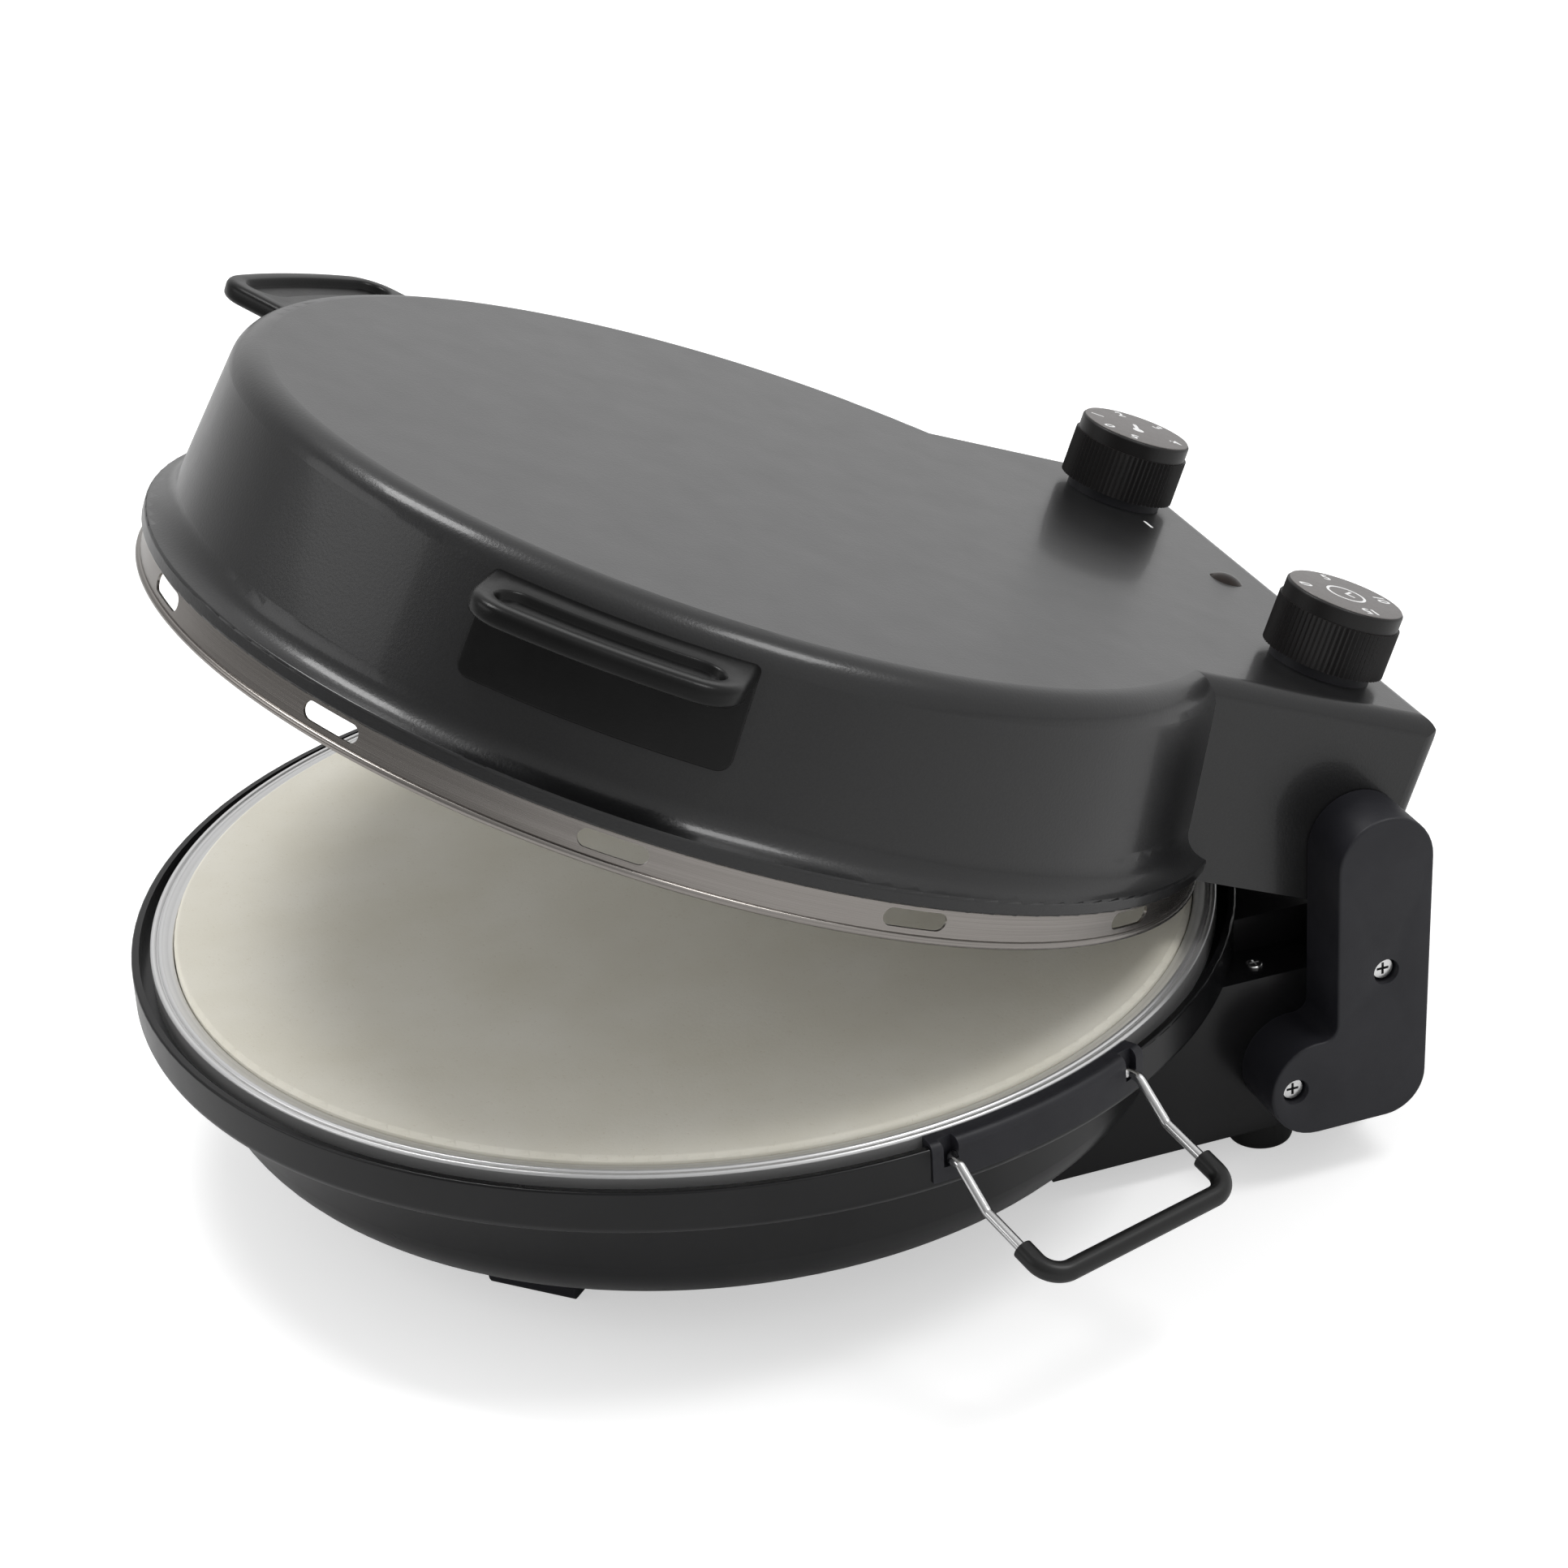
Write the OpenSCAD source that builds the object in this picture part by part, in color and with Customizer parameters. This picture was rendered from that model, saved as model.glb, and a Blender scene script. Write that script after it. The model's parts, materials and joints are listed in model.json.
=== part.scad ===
// Electric pizza maker: a round stone in a bowl under a hinged bell-shaped lid.
// Millimetres, +Z up. The front is -Y and the hinge is at +Y. The origin is on the
// standing plane, under the middle of the stone. The lid is drawn closed and turned open.

/* [Lid position] */
// Angle at which the lid stands open
lid_open = 22.5; // [10:0.5:40]
// Distance of the hinge pins behind the middle of the stone
hinge_y = 163; // [161:0.5:166]
// Height of the hinge pins above the steel rim
hinge_rise = 28.5; // [27:0.5:32]

/* [Bowl] */
// Height of the steel rim above the table
rim_z = 76; // [72:1:84]
// Height of the bowl's underside above the table
bowl_bottom_z = 18; // [14:1:20]
// Radius of the bowl where it meets the skirt
bowl_r = 155.5; // [155:0.5:158]
// Lean of the bowl's side
bowl_draft = 16.4; // [10:0.2:20]
// Radius of the bowl's bottom edge
bowl_fillet = 26; // [16:1:30]
// Wall of the bowl
bowl_wall = 2.5; // [2:0.1:3]

/* [Skirt] */
// Outer radius of the skirt round the top of the bowl
skirt_r = 167.85; // [167.2:0.05:170]
// Depth of the skirt's top edge below the steel rim
skirt_drop = 1.9; // [1.5:0.1:2.4]
// Depth of the skirt's underside below the steel rim
skirt_depth = 16; // [15:0.5:18]
// Radius of the skirt's lower edge
skirt_round = 3.2; // [1:0.1:4]
// Width of the skirt's upstanding edge
skirt_edge = 2.35; // [2:0.05:2.8]
// Depth of the groove's floor below the steel rim
groove_depth = 8; // [6:0.5:9]

/* [Stone] */
// Radius of the stone
stone_r = 154.7; // [153:0.1:154.8]
// Thickness of the stone
stone_t = 12; // [10:0.5:13]
// Height of the stone's face above the steel rim
stone_proud = 1.2; // [0:0.1:1.3]
// Radius of the stone's edges
stone_round = 1.4; // [0.5:0.1:2]

/* [Steel rim] */
// Outer radius of the steel rim
rim_r = 162; // [161.5:0.1:162.1]
// Thickness of the rim's sheet
rim_t = 0.8; // [0.6:0.1:1]
// Radius of the rim's two ridges
ridge_r = 1; // [0.8:0.05:1.05]
// Distance between the two ridges
ridge_pitch = 2.2; // [2.1:0.05:2.4]
// Width of the ledge under the stone
stone_ledge = 8; // [5:0.5:12]
// Clearance round the stone
stone_gap = 0.3; // [0.2:0.05:0.5]

/* [Base box] */
// Half the width of the box behind the bowl
box_half = 105; // [100:1:108]
// Position of the box's rear wall
box_back = 186; // [184:0.5:188]
// Position of the box's front edge under the bowl
box_front = 75; // [60:1:90]
// Height of the box's underside above the table
box_bottom_z = 10; // [6:0.5:12]
// Depth of the box's side ledges below the steel rim
ledge_depth = 13.5; // [12:0.5:15]
// Width of the side ledges beside the raised block
ledge_w = 17; // [10:1:25]
// Depth of the block's top below the steel rim
block_depth = 2.4; // [2.2:0.1:4]
// Wall of the box
box_wall = 3; // [2:0.5:4]
// Radius of the box's upright corners
box_corner = 7; // [3:0.5:10]
// Thickness of the plate under the box
plate_t = 2.5; // [2:0.25:3.5]

/* [Feet] */
// Radius of the rear feet
rear_foot_r = 10.6; // [7:0.1:12]
// Distance of a rear foot's middle inside the box's side
rear_foot_in = 12.3; // [12:0.1:25]
// Distance of the rear feet behind the stone's middle
rear_foot_y = 149.2; // [140:0.1:165]
// Direction of the front feet from the middle, below the X axis
front_foot_az = 45; // [35:1:60]
// Radius at the outer face of a front foot
front_foot_r = 113.5; // [100:0.5:118]
// Width of a front foot at the table
front_foot_w = 27; // [18:1:28]
// Width of a front foot at the bowl
front_foot_top = 33; // [29:1:36]
// Depth of a front foot towards the middle
front_foot_t = 22; // [14:1:26]

/* [Bails] */
// Direction of a bail from the X axis
bail_az = 17.5; // [15:0.5:22]
// Half the angle that a bail's block spans
bridge_half_az = 13.3; // [12.8:0.1:15]
// Depth of the block in the skirt's face
bridge_deep = 5.45; // [5:0.05:5.55]
// How far the block stands out of the skirt's face
bridge_proud = 0.75; // [0.2:0.05:3]
// Depth of the block's top below the steel rim
bridge_drop = 0.5; // [0.3:0.1:1]
// Depth of the block's underside below the steel rim
bridge_depth = 12.5; // [11:0.5:13]
// Radius of the block's outer top edge
bridge_round = 2.6; // [1:0.1:3]
// Half the distance between a bail's two legs
bail_half = 33.2; // [30:0.2:34]
// Thickness of the bail's wire
bail_wire = 3; // [2.4:0.1:3.4]
// Thickness of the bail's sleeve
sleeve_d = 6; // [4.4:0.1:7]
// Depth of the bail's pivot in the skirt's face
bail_pivot_deep = 3.95; // [3.5:0.05:4.3]
// Depth of the bail's pivot below the steel rim
bail_pivot_depth = 6.5; // [6:0.1:7.5]
// Clearance of the bail's ends in the block
bail_gap = 0.08; // [0.03:0.01:0.1]
// Radius of the bail's corners
bail_bend = 7; // [5:0.5:12]

/* [Lid] */
// Radius of the lid's lower lip
lip_r = 165.6; // [165.2:0.1:167]
// Height of the lip's underside above the steel rim
lip_rise = 11.3; // [10.5:0.1:15]
// Radius of the lip's outer edge
lip_round = 1.2; // [0.4:0.1:2]
// Radius of the hollow flare above the lip
flare_r = 9.5; // [7:0.5:11]
// Height of the flare's upper end above the steel rim
flare_rise = 25; // [24:0.5:28]
// Radius of the dome at the flare's upper end
dome_low_r = 158.2; // [157:0.1:159.5]
// Inward lean of the dome's side
dome_draft = 7.2; // [4:0.2:10]
// Height of the lid's flat top above the steel rim
dome_rise = 70; // [66:1:78]
// Radius of the dome's top edge
dome_round = 9; // [5:0.5:12]
// Wall of the lid
lid_wall = 2; // [1.6:0.1:2.4]

/* [Lid ring] */
// Outer radius of the steel ring
ring_r = 163.6; // [163:0.1:164]
// Thickness of the ring's sheet
ring_t = 0.8; // [0.6:0.1:1]
// Radius of the rolled bead
bead_r = 1.2; // [0.9:0.05:1.4]
// Gap under the bead when the lid is closed
bead_gap = 0.4; // [0.3:0.1:0.8]
// Height of the ring above the lip's underside, inside the lid
ring_tuck = 0.7; // [0.4:0.1:0.7]
// Number of slots in the ring
slots = 12; // [6:1:16]
// Length of a slot
slot_l = 19.6; // [10:0.2:28]
// Height of a slot
slot_h = 5.4; // [3:0.2:6.4]
// Height of the slots' middle above the steel rim
slot_rise = 7.1; // [6.5:0.1:8]
// Direction of one slot from the X axis
slot_az = 3; // [-15:0.1:15]

/* [Lid box] */
// Gap between the box and a hinge cover
lid_box_gap = 0.5; // [0.4:0.1:2]
// Position of the box's rear wall when closed
lid_box_back = 190.4; // [188:0.1:190.8]
// Height of the box's underside above the steel rim
lid_box_rise = 9; // [8:0.5:12]
// Swing radius that the box's rear edge keeps to
lid_swing_r = 28; // [27.8:0.1:28.2]
// Radius of the box's top edges and upright corners
lid_box_round = 5.5; // [2:0.5:7]
// Wall of the lid's box
lid_box_wall = 3; // [2:0.5:3.5]
// Forward lean of the box's rear wall
lid_box_lean = 4.5; // [0:0.5:8]

/* [Hinge] */
// Radius of the hinge pins
pin_r = 3; // [2.5:0.1:3.2]
// Running clearance of the hinge pins in the lid
pin_gap = 0.05; // [0.02:0.01:0.1]
// Depth of the pins in the lid's box
pin_in = 8; // [5:0.5:12]
// Thickness of a hinge cover
cover_t = 20; // [16:1:24]
// Radius of the cover's rounded top
cover_top_r = 15.4; // [14:0.2:17]
// Position of the middle of the cover's top
cover_y = 173.9; // [173:0.1:175]
// Height of the middle of the cover's top above the steel rim
cover_rise = 26.5; // [24:0.5:30]
// Radius of the cover's toe
toe_r = 15.3; // [12:0.1:17]
// Position of the middle of the toe
toe_y = 152.5; // [148:0.5:154]
// Depth of the middle of the toe below the steel rim
toe_depth = 43; // [41:0.5:46]
// Radius of the cover's heel
heel_r = 13; // [8:0.5:15]
// Radius of the hollow between toe and leg
cover_hollow_r = 4.5; // [2:0.5:6]

/* [Lid handles] */
// Direction of a lid handle from the X axis
grip_az = -32.9; // [-45:0.1:-28]
// Half the angle that the handle's back plate spans
grip_plate_az = 14; // [13:0.5:16]
// Height of the back plate's lower edge above the steel rim
grip_low = 34; // [30:1:38]
// Height of the handle's top above the steel rim
grip_high = 63; // [60:0.5:67]
// Thickness of the back plate
grip_plate_t = 3; // [2.4:0.1:4]
// Radius of the back plate's lower corners
grip_plate_round = 4; // [2:0.5:6]
// Half the width of the grip
grip_half = 37.6; // [34:0.1:38]
// Radius at the grip's outer edge
grip_r = 184; // [172:0.5:188]
// Thickness of the grip
grip_t = 5.8; // [5:0.1:12]
// Radius of the grip's outer corners
grip_corner = 13; // [9:0.5:15]
// Width of the raised edge round the grip's hollow
grip_edge = 5.4; // [3:0.1:6]
// Width of the flat between the hollow and the back plate
grip_flat = 3.6; // [2:0.1:6]
// Depth of the grip's hollow
grip_hollow = 2.5; // [2:0.1:3]

/* [Knobs] */
// Distance of a knob from the middle plane
knob_x = 72.1; // [66:0.1:76]
// Distance of the knobs behind the stone's middle
knob_y = 162.8; // [161:0.1:164]
// Radius of a knob
knob_r = 18.7; // [14:0.1:20]
// Height of a knob
knob_h = 19.8; // [14:0.1:24]
// Depth of the smooth band below the knob's top
knob_band = 5; // [3:0.5:7]
// Number of ribs round a knob
knob_ribs = 72; // [36:4:80]
// Depth of the hollows between the ribs
rib_depth = 0.5; // [0.3:0.1:0.8]
// Radius of the dark collar under a knob
collar_r = 15.5; // [11:0.5:18]
// Height of the collar
collar_h = 3; // [2:0.1:4]
// Gap between the collar and the knob
knob_gap = 0.3; // [0.2:0.1:0.6]
// Radius of a control's shaft
shaft_r = 3; // [2:0.1:4]
// Running clearance of a shaft
shaft_gap = 0.05; // [0.02:0.01:0.1]
// Thickness of the disc on a knob's face
cap_t = 1.2; // [0.8:0.1:2]
// Width of the knob's edge round the disc
cap_edge = 1.6; // [1:0.1:3]

/* [Elements] */
// Radius of the ring of both heating elements
element_ring_r = 105; // [85:1:112]
// Radius of the element's tube
element_r = 3.4; // [2.6:0.1:4]
// Half the angle left open behind the ring
element_gap_az = 10; // [7:0.5:14]
// Depth of the lower element below the steel rim
lower_element_depth = 28; // [24:1:34]
// Height of the upper element above the steel rim
upper_element_rise = 52; // [46:1:54]
// Height of the reflector's top above the steel rim
reflector_rise = 62; // [60:0.5:63]
// Sheet of the reflector
reflector_t = 1; // [0.8:0.1:1.4]
// Space between the reflector's side and the dome
reflector_space = 5; // [4:0.5:8]

/* [Hidden] */
$fn = 96;

cut = 1;                                    // how far a cutter reaches past what it cuts
hinge_z = rim_z + hinge_rise;
block_half = box_half - ledge_w;
lid_box_half = box_half - lid_box_gap;
skirt_top_z = rim_z - skirt_drop;
skirt_bottom_z = rim_z - skirt_depth;
groove_z = rim_z - groove_depth;
groove_r = skirt_r - skirt_edge;
stone_top_z = rim_z + stone_proud;
stone_bottom_z = stone_top_z - stone_t;
rim_in_r = stone_r + stone_gap;             // inner face of the steel rim's well
well_gap = 0.6;                             // space between the rim's well and the bowl's bore
bore_r = rim_in_r + rim_t + well_gap;
bore_z = stone_bottom_z - rim_t;            // floor of the bowl's bore, under the rim's ledge
ledge_z = rim_z - ledge_depth;
block_z = rim_z - block_depth;
bowl_round_z = bowl_bottom_z + bowl_fillet;
bowl_floor_z = bowl_bottom_z + bowl_wall;

bridge_in_r = skirt_r - bridge_deep;
bridge_out_r = skirt_r + bridge_proud;
bail_pivot_n = skirt_r - bail_pivot_deep;
bail_pivot_z = rim_z - bail_pivot_depth;
bail_r = bail_wire / 2;
bail_pin_in = 7;                            // length of a bail's straight end in its block
bail_pin_bend = 2.4;                        // radius of the bend behind that end
bail_slot = bail_wire + 1.6;
bail_knee = 4.8;                            // outward from the bail's pivot to its first bend
bail_kink = [15.8, -10];                    // outward and upward from the pivot to its second
bail_tilt = 18.8;                           // slope of the gripped end
bail_reach = 27.6;                          // from the second bend to the outer run
sleeve_start = 15.2;                        // from the second bend to the sleeve

lip_z = rim_z + lip_rise;
flare_z = rim_z + flare_rise;
lip_top_z = flare_z - sqrt(pow(flare_r, 2) - pow(dome_low_r + flare_r - lip_r + lip_round, 2));
dome_z = rim_z + dome_rise;
dome_round_z = dome_z - dome_round;
bead_z = rim_z + bead_gap + bead_r;
ring_top_z = lip_z + ring_tuck;
lid_box_z = rim_z + lid_box_rise;
panel_t = lid_box_wall;
corner_shift = 0.05;                        // keeps the box's upright corners off the swing cut

cover_z = rim_z + cover_rise;
cover_x = box_half;
toe_z = rim_z - toe_depth;
sole_z = toe_z - toe_r;
heel_y = box_back + 2 - heel_r;
screw_r = 1.5;
screw_head_r = 3.2;
screw_head_h = 1.5;
recess_r = 4;
recess_depth = 4;
boss_r = 4.5;

lower_element_z = rim_z - lower_element_depth;
upper_element_z = rim_z + upper_element_rise;
reflector_z = rim_z + reflector_rise;
element_clear = 0.3;
leg_end_y = 166;                            // where the elements' ends stop, inside the boxes
leg_bend = 9;                               // radius of the bends between ring and ends
swage = 0.15;                               // swelling of the bends
leg_lap = 0.4;                              // how far ring and ends run into the bends
leg_x = element_ring_r * sin(element_gap_az);
leg_y = sqrt(pow(element_ring_r + leg_bend, 2) - pow(leg_x + leg_bend, 2));
clip_w = 12;
clip_t = 3;
clip_azs = [30, 150, 270];

heat_depth = 18;                            // depth of a control below the panel
timer_depth = 26;
shaft_floor = 5;                            // from a control's bottom to its shaft's end
knob_crown = 4;                             // solid top of a knob, above its shaft

gland_x = -60;
gland_z = 38;
gland_r = 7;
gland_bore_r = 3.6;
gland_flange_r = 10;

// ---------------------------------------------------------------- helpers

// An outline drawn as (y, z), extruded from x0 to x1
module along_x(x0, x1) {
    translate([x0, 0, 0]) rotate([90, 0, 90]) linear_extrude(x1 - x0) children();
}

// An outline drawn as (x, z), extruded from y0 to y1
module along_y(y0, y1) {
    translate([0, y1, 0]) rotate([90, 0, 0]) linear_extrude(y1 - y0) children();
}

module box(low, high) {
    translate(low) cube(high - low);
}

module rect(low, high) {
    translate(low) square(high - low);
}

// What rounding takes off an outline's corner; side points from the corner into the outline
module corner_loss(at, side, r) {
    low = [for (k = [0, 1]) side[k] > 0 ? -cut : -r];
    translate(at) difference() {
        translate(low) square(r + cut);
        translate(r * side) circle(r = r);
    }
}

function unit(v) = v / norm(v);

// Points of the round corner at b, on the way from a to c
function corner_points(a, b, c, bend, steps) =
    let (u = unit(a - b), v = unit(c - b), half = acos(u * v) / 2,
         middle = b + unit(u + v) * bend / sin(half),
         e1 = unit(b + u * bend / tan(half) - middle),
         far = b + v * bend / tan(half) - middle,
         e2 = unit(far - e1 * (far * e1)))
    [for (k = [0:steps]) let (a = k * (180 - 2 * half) / steps)
        middle + bend * (cos(a) * e1 + sin(a) * e2)];

// A route through points, with each inner corner rounded to its own radius
function rounded_route(points, bends, steps) = [
    points[0],
    for (k = [1:len(points) - 2])
        each corner_points(points[k - 1], points[k], points[k + 1], bends[k - 1], steps),
    points[len(points) - 1]];

// A round wire along a route, as one closed skin of rings
module wire(route, r, sides = 16) {
    n = len(route);
    way = [for (k = [0:n - 1]) unit(route[min(k + 1, n - 1)] - route[max(k - 1, 0)])];
    across = [for (k = 0, side = unit(cross(way[0], [0.3, 0.2, 1])); k < n;
        k = k + 1, side = unit(side - way[min(k, n - 1)] * (side * way[min(k, n - 1)]))) side];
    rings = [for (k = [0:n - 1], a = [0:sides - 1])
        let (up = cross(way[k], across[k]), turn = a * 360 / sides)
        route[k] + r * (cos(turn) * across[k] + sin(turn) * up)];
    skin = [for (k = [0:n - 2], a = [0:sides - 1])
        let (b = (a + 1) % sides, low = k * sides, high = low + sides)
        each [[low + a, high + a, low + b], [low + b, high + a, high + b]]];
    ends = [[for (a = [0:sides - 1]) a], [for (a = [sides - 1:-1:0]) (n - 1) * sides + a]];
    polyhedron(rings, concat(skin, ends));
}

// A mirrored pair
module pair() {
    children();
    mirror([1, 0, 0]) children();
}

// A countersunk screw with a cross slot; the head's face is at the origin and looks along +Z
module screw(length) {
    difference() {
        union() {
            translate([0, 0, -screw_head_h]) cylinder(r = screw_head_r, h = screw_head_h, $fn = 48);
            translate([0, 0, -length]) cylinder(r = screw_r, h = length, $fn = 48);
        }
        for (a = [0, 90]) rotate([0, 0, a]) translate([0, 0, cut / 2 - 0.8])
            cube([screw_head_r * 1.2, 0.8, 1.6 + cut], center = true);
    }
}

module lid_pose() {
    translate([0, hinge_y, hinge_z]) rotate([-lid_open, 0, 0])
        translate([0, -hinge_y, -hinge_z]) children();
}

// ---------------------------------------------------------------- base

function bowl_side(z, inset = 0) =
    bowl_r - (skirt_bottom_z - z) * tan(bowl_draft) - inset / cos(bowl_draft);

// Half section of the bowl: flat bottom, round edge, leaning side
module bowl_half(inset, top_z) {
    r = bowl_fillet - inset;
    middle_r = bowl_side(bowl_round_z, bowl_fillet);
    tangent_z = bowl_round_z - r * sin(bowl_draft);
    polygon([[0, bowl_bottom_z + inset], [middle_r, bowl_bottom_z + inset],
             [bowl_side(tangent_z, inset), tangent_z], [bowl_side(top_z, inset), top_z],
             [0, top_z]]);
    translate([middle_r, bowl_round_z]) circle(r = r);
}

module skirt_half() {
    difference() {
        rect([0, skirt_bottom_z], [skirt_r, skirt_top_z]);
        corner_loss([skirt_r, skirt_bottom_z], [-1, 1], skirt_round);
        corner_loss([skirt_r, skirt_top_z], [-1, -1], skirt_edge / 3);
    }
}

// Side view of the box behind the bowl, up to a height
module base_box_side(inset, top_z) {
    back = box_back - inset;
    bottom = box_bottom_z + (inset > 0 ? -cut : 0);
    slope = 5;
    difference() {
        polygon([[box_front + inset, bottom], [back, bottom], [back, top_z],
                 [box_front - slope + inset, top_z]]);
        if (inset == 0) corner_loss([back, bottom], [-1, 1], box_corner / 2);
        corner_loss([back, top_z], [-1, -1], 3);
    }
}

// Plan of the box, with round upright corners at the back
module base_box_plan(half, back) {
    difference() {
        rect([-half, 0], [half, back]);
        corner_loss([half, back], [-1, -1], box_corner);
        corner_loss([-half, back], [1, -1], box_corner);
    }
}

module base_box(inset) {
    intersection() {
        along_x(-box_half + inset, box_half - inset) base_box_side(inset, ledge_z - inset);
        linear_extrude(rim_z) base_box_plan(box_half - inset, box_back - inset);
    }
}

module base_block(inset) {
    intersection() {
        along_x(-block_half + inset, block_half - inset)
            base_box_side(inset, block_z - inset);
        linear_extrude(rim_z) base_box_plan(block_half - inset, box_back - inset);
    }
}

cover_screw_x = box_half - 21;
cover_screw_ys = [box_back - 74, box_back - 18];

module cover_screw_places() {
    for (y = cover_screw_ys) pair() translate([cover_screw_x, y, 0]) children();
}

// The space that a bail's block takes in the skirt
module bridge_seat(side) {
    rotate([0, 0, (side > 0 ? bail_az : 180 - bail_az) - bridge_half_az])
        rotate_extrude(angle = 2 * bridge_half_az)
            rect([bridge_in_r, rim_z - bridge_depth], [bridge_out_r + cut, rim_z + cut]);
}

module base_shell() color([0.07, 0.07, 0.08]) difference() {
    union() {
        rotate_extrude() bowl_half(0, skirt_bottom_z + cut);
        rotate_extrude() skirt_half();
        base_box(0);
        base_block(0);
        for (s = [-1, 1]) hinge_boss(s);
    }
    // the bowl's hollow, the bore for the steel rim and the groove round it
    rotate_extrude() {
        bowl_half(bowl_wall, bore_z + 0.01);
        rect([0, bore_z], [bore_r, groove_z + cut]);
        rect([0, groove_z], [groove_r, rim_z + cut]);
    }
    // the box's hollow, open below, with bosses left for the plate's screws
    difference() {
        union() {
            base_box(box_wall);
            base_block(box_wall);
        }
        rotate_extrude() bowl_half(0, skirt_bottom_z + cut);
        rotate_extrude() rect([0, skirt_bottom_z], [skirt_r, rim_z]);
        cover_screw_places() translate([0, 0, box_bottom_z + plate_t])
            cylinder(r = boss_r, h = ledge_z - box_bottom_z);
    }
    cover_screw_places() cylinder(r = screw_r, h = box_bottom_z + 14);
    for (s = [-1, 1]) bridge_seat(s);
    // holes for the element's ends and for the inlet
    element_legs(lower_element_z, element_clear);
    translate([gland_x, box_back + cut, gland_z]) rotate([90, 0, 0])
        cylinder(r = gland_r, h = box_wall + 2 * cut);
    for (s = [-1, 1]) for (p = cover_screws) along_x(s > 0 ? cover_x - 8 : -cover_x - cut,
        s > 0 ? cover_x + cut : -cover_x + 8) translate(p) circle(r = screw_r, $fn = 48);
    bridge_screw_places() {
        translate([0, 0, -8]) cylinder(r = screw_r + 0.2, h = 8, $fn = 48);
        translate([0, 0, -screw_head_h]) cylinder(r = screw_head_r + 0.2, h = screw_head_h + 2 * cut);
    }
}

// Round posts from the raised block out to where a hinge cover is screwed on
module hinge_boss(s) {
    along_x(s > 0 ? block_half - cut : -cover_x, s > 0 ? cover_x : -block_half + cut)
        for (p = cover_screws) translate(p) circle(r = boss_r);
}

module base_bottom_cover() color([0.09, 0.09, 0.1]) difference() {
    intersection() {
        box([-box_half + box_wall, box_front + box_wall, box_bottom_z],
            [box_half - box_wall, box_back - box_wall, box_bottom_z + plate_t]);
        linear_extrude(rim_z) base_box_plan(box_half - box_wall, box_back - box_wall);
    }
    cover_screw_places() translate([0, 0, box_bottom_z - cut]) {
        cylinder(r = screw_r + 0.3, h = plate_t + 2 * cut, $fn = 48);
        cylinder(r = screw_head_r + 0.2, h = screw_head_h + cut, $fn = 48);
    }
}

module bottom_cover_screws() color([0.7, 0.7, 0.72])
    cover_screw_places() translate([0, 0, box_bottom_z]) rotate([180, 0, 0]) screw(13);

module steel_rim() color([0.78, 0.78, 0.8]) rotate_extrude() {
    outer_ridge = rim_r - ridge_r;
    inner_ridge = outer_ridge - ridge_pitch;
    ridge_z = rim_z - ridge_r;
    shoulder_z = rim_z - ridge_r;
    rect([rim_in_r - stone_ledge, stone_bottom_z - rim_t], [rim_in_r + rim_t, stone_bottom_z]);
    rect([rim_in_r, stone_bottom_z - rim_t], [rim_in_r + rim_t, shoulder_z - rim_t]);
    polygon([[rim_in_r, shoulder_z - rim_t - 0.01], [rim_in_r + rim_t, shoulder_z - rim_t],
             [outer_ridge, ridge_z - rim_t], [outer_ridge, ridge_z], [inner_ridge - 0.6, ridge_z + 0.6],
             [rim_in_r, shoulder_z]]);
    for (r = [inner_ridge, outer_ridge]) translate([r, ridge_z]) circle(r = ridge_r, $fn = 48);
    rect([rim_r - rim_t, groove_z], [rim_r, ridge_z]);
}

module pizza_stone() color([0.87, 0.8, 0.66]) rotate_extrude() difference() {
    rect([0, stone_bottom_z], [stone_r, stone_top_z]);
    corner_loss([stone_r, stone_top_z], [-1, -1], stone_round);
    corner_loss([stone_r, stone_bottom_z], [-1, 1], stone_round);
}

// Two straight ends of an element, running back from its bends
module element_legs(z, grow = 0) {
    pair() translate([leg_x, leg_y - leg_lap, z]) rotate([-90, 0, 0])
        cylinder(r = element_r + grow, h = leg_end_y - leg_y + leg_lap, $fn = 48);
}

// A ring that turns outward at both ends, round bends that touch the ring and the legs
module element(z) {
    bend_az = atan2(leg_x + leg_bend, leg_y);
    start_az = bend_az - leg_lap / element_ring_r * 180 / PI;
    rotate([0, 0, 90 + start_az]) rotate_extrude(angle = 360 - 2 * start_az)
        translate([element_ring_r, z]) circle(r = element_r, $fn = 48);
    pair() translate([leg_x + leg_bend, leg_y, z]) rotate([0, 0, 180])
        rotate_extrude(angle = 90 - bend_az) translate([leg_bend, 0])
            circle(r = element_r + swage, $fn = 48);
    element_legs(z);
}

// Clips that reach from z0 to z1 and hold the element's ring
module element_clips(z, z0, z1) {
    for (a = clip_azs) rotate([0, 0, a]) difference() {
        box([element_ring_r - clip_w / 2, -clip_t / 2, z0], [element_ring_r + clip_w / 2, clip_t / 2, z1]);
        translate([element_ring_r, 0, z]) rotate([90, 0, 0])
            cylinder(r = element_r + 0.05, h = clip_t + 2 * cut, center = true, $fn = 48);
    }
}

module lower_element() color([0.32, 0.3, 0.29]) element(lower_element_z);
module lower_element_clips() color([0.75, 0.75, 0.76])
    element_clips(lower_element_z, bowl_floor_z, lower_element_z + clip_w / 2);

module thermal_cutout() color([0.85, 0.84, 0.8]) translate([0, 40, bowl_floor_z]) difference() {
    union() {
        box([-17, -6, 0], [17, 6, 1.5]);
        cylinder(r = 8, h = 8);
    }
    for (s = [-1, 1]) box([s * 5 - 1, -9, 5], [s * 5 + 1, 9, 8 + cut]);
}

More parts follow.
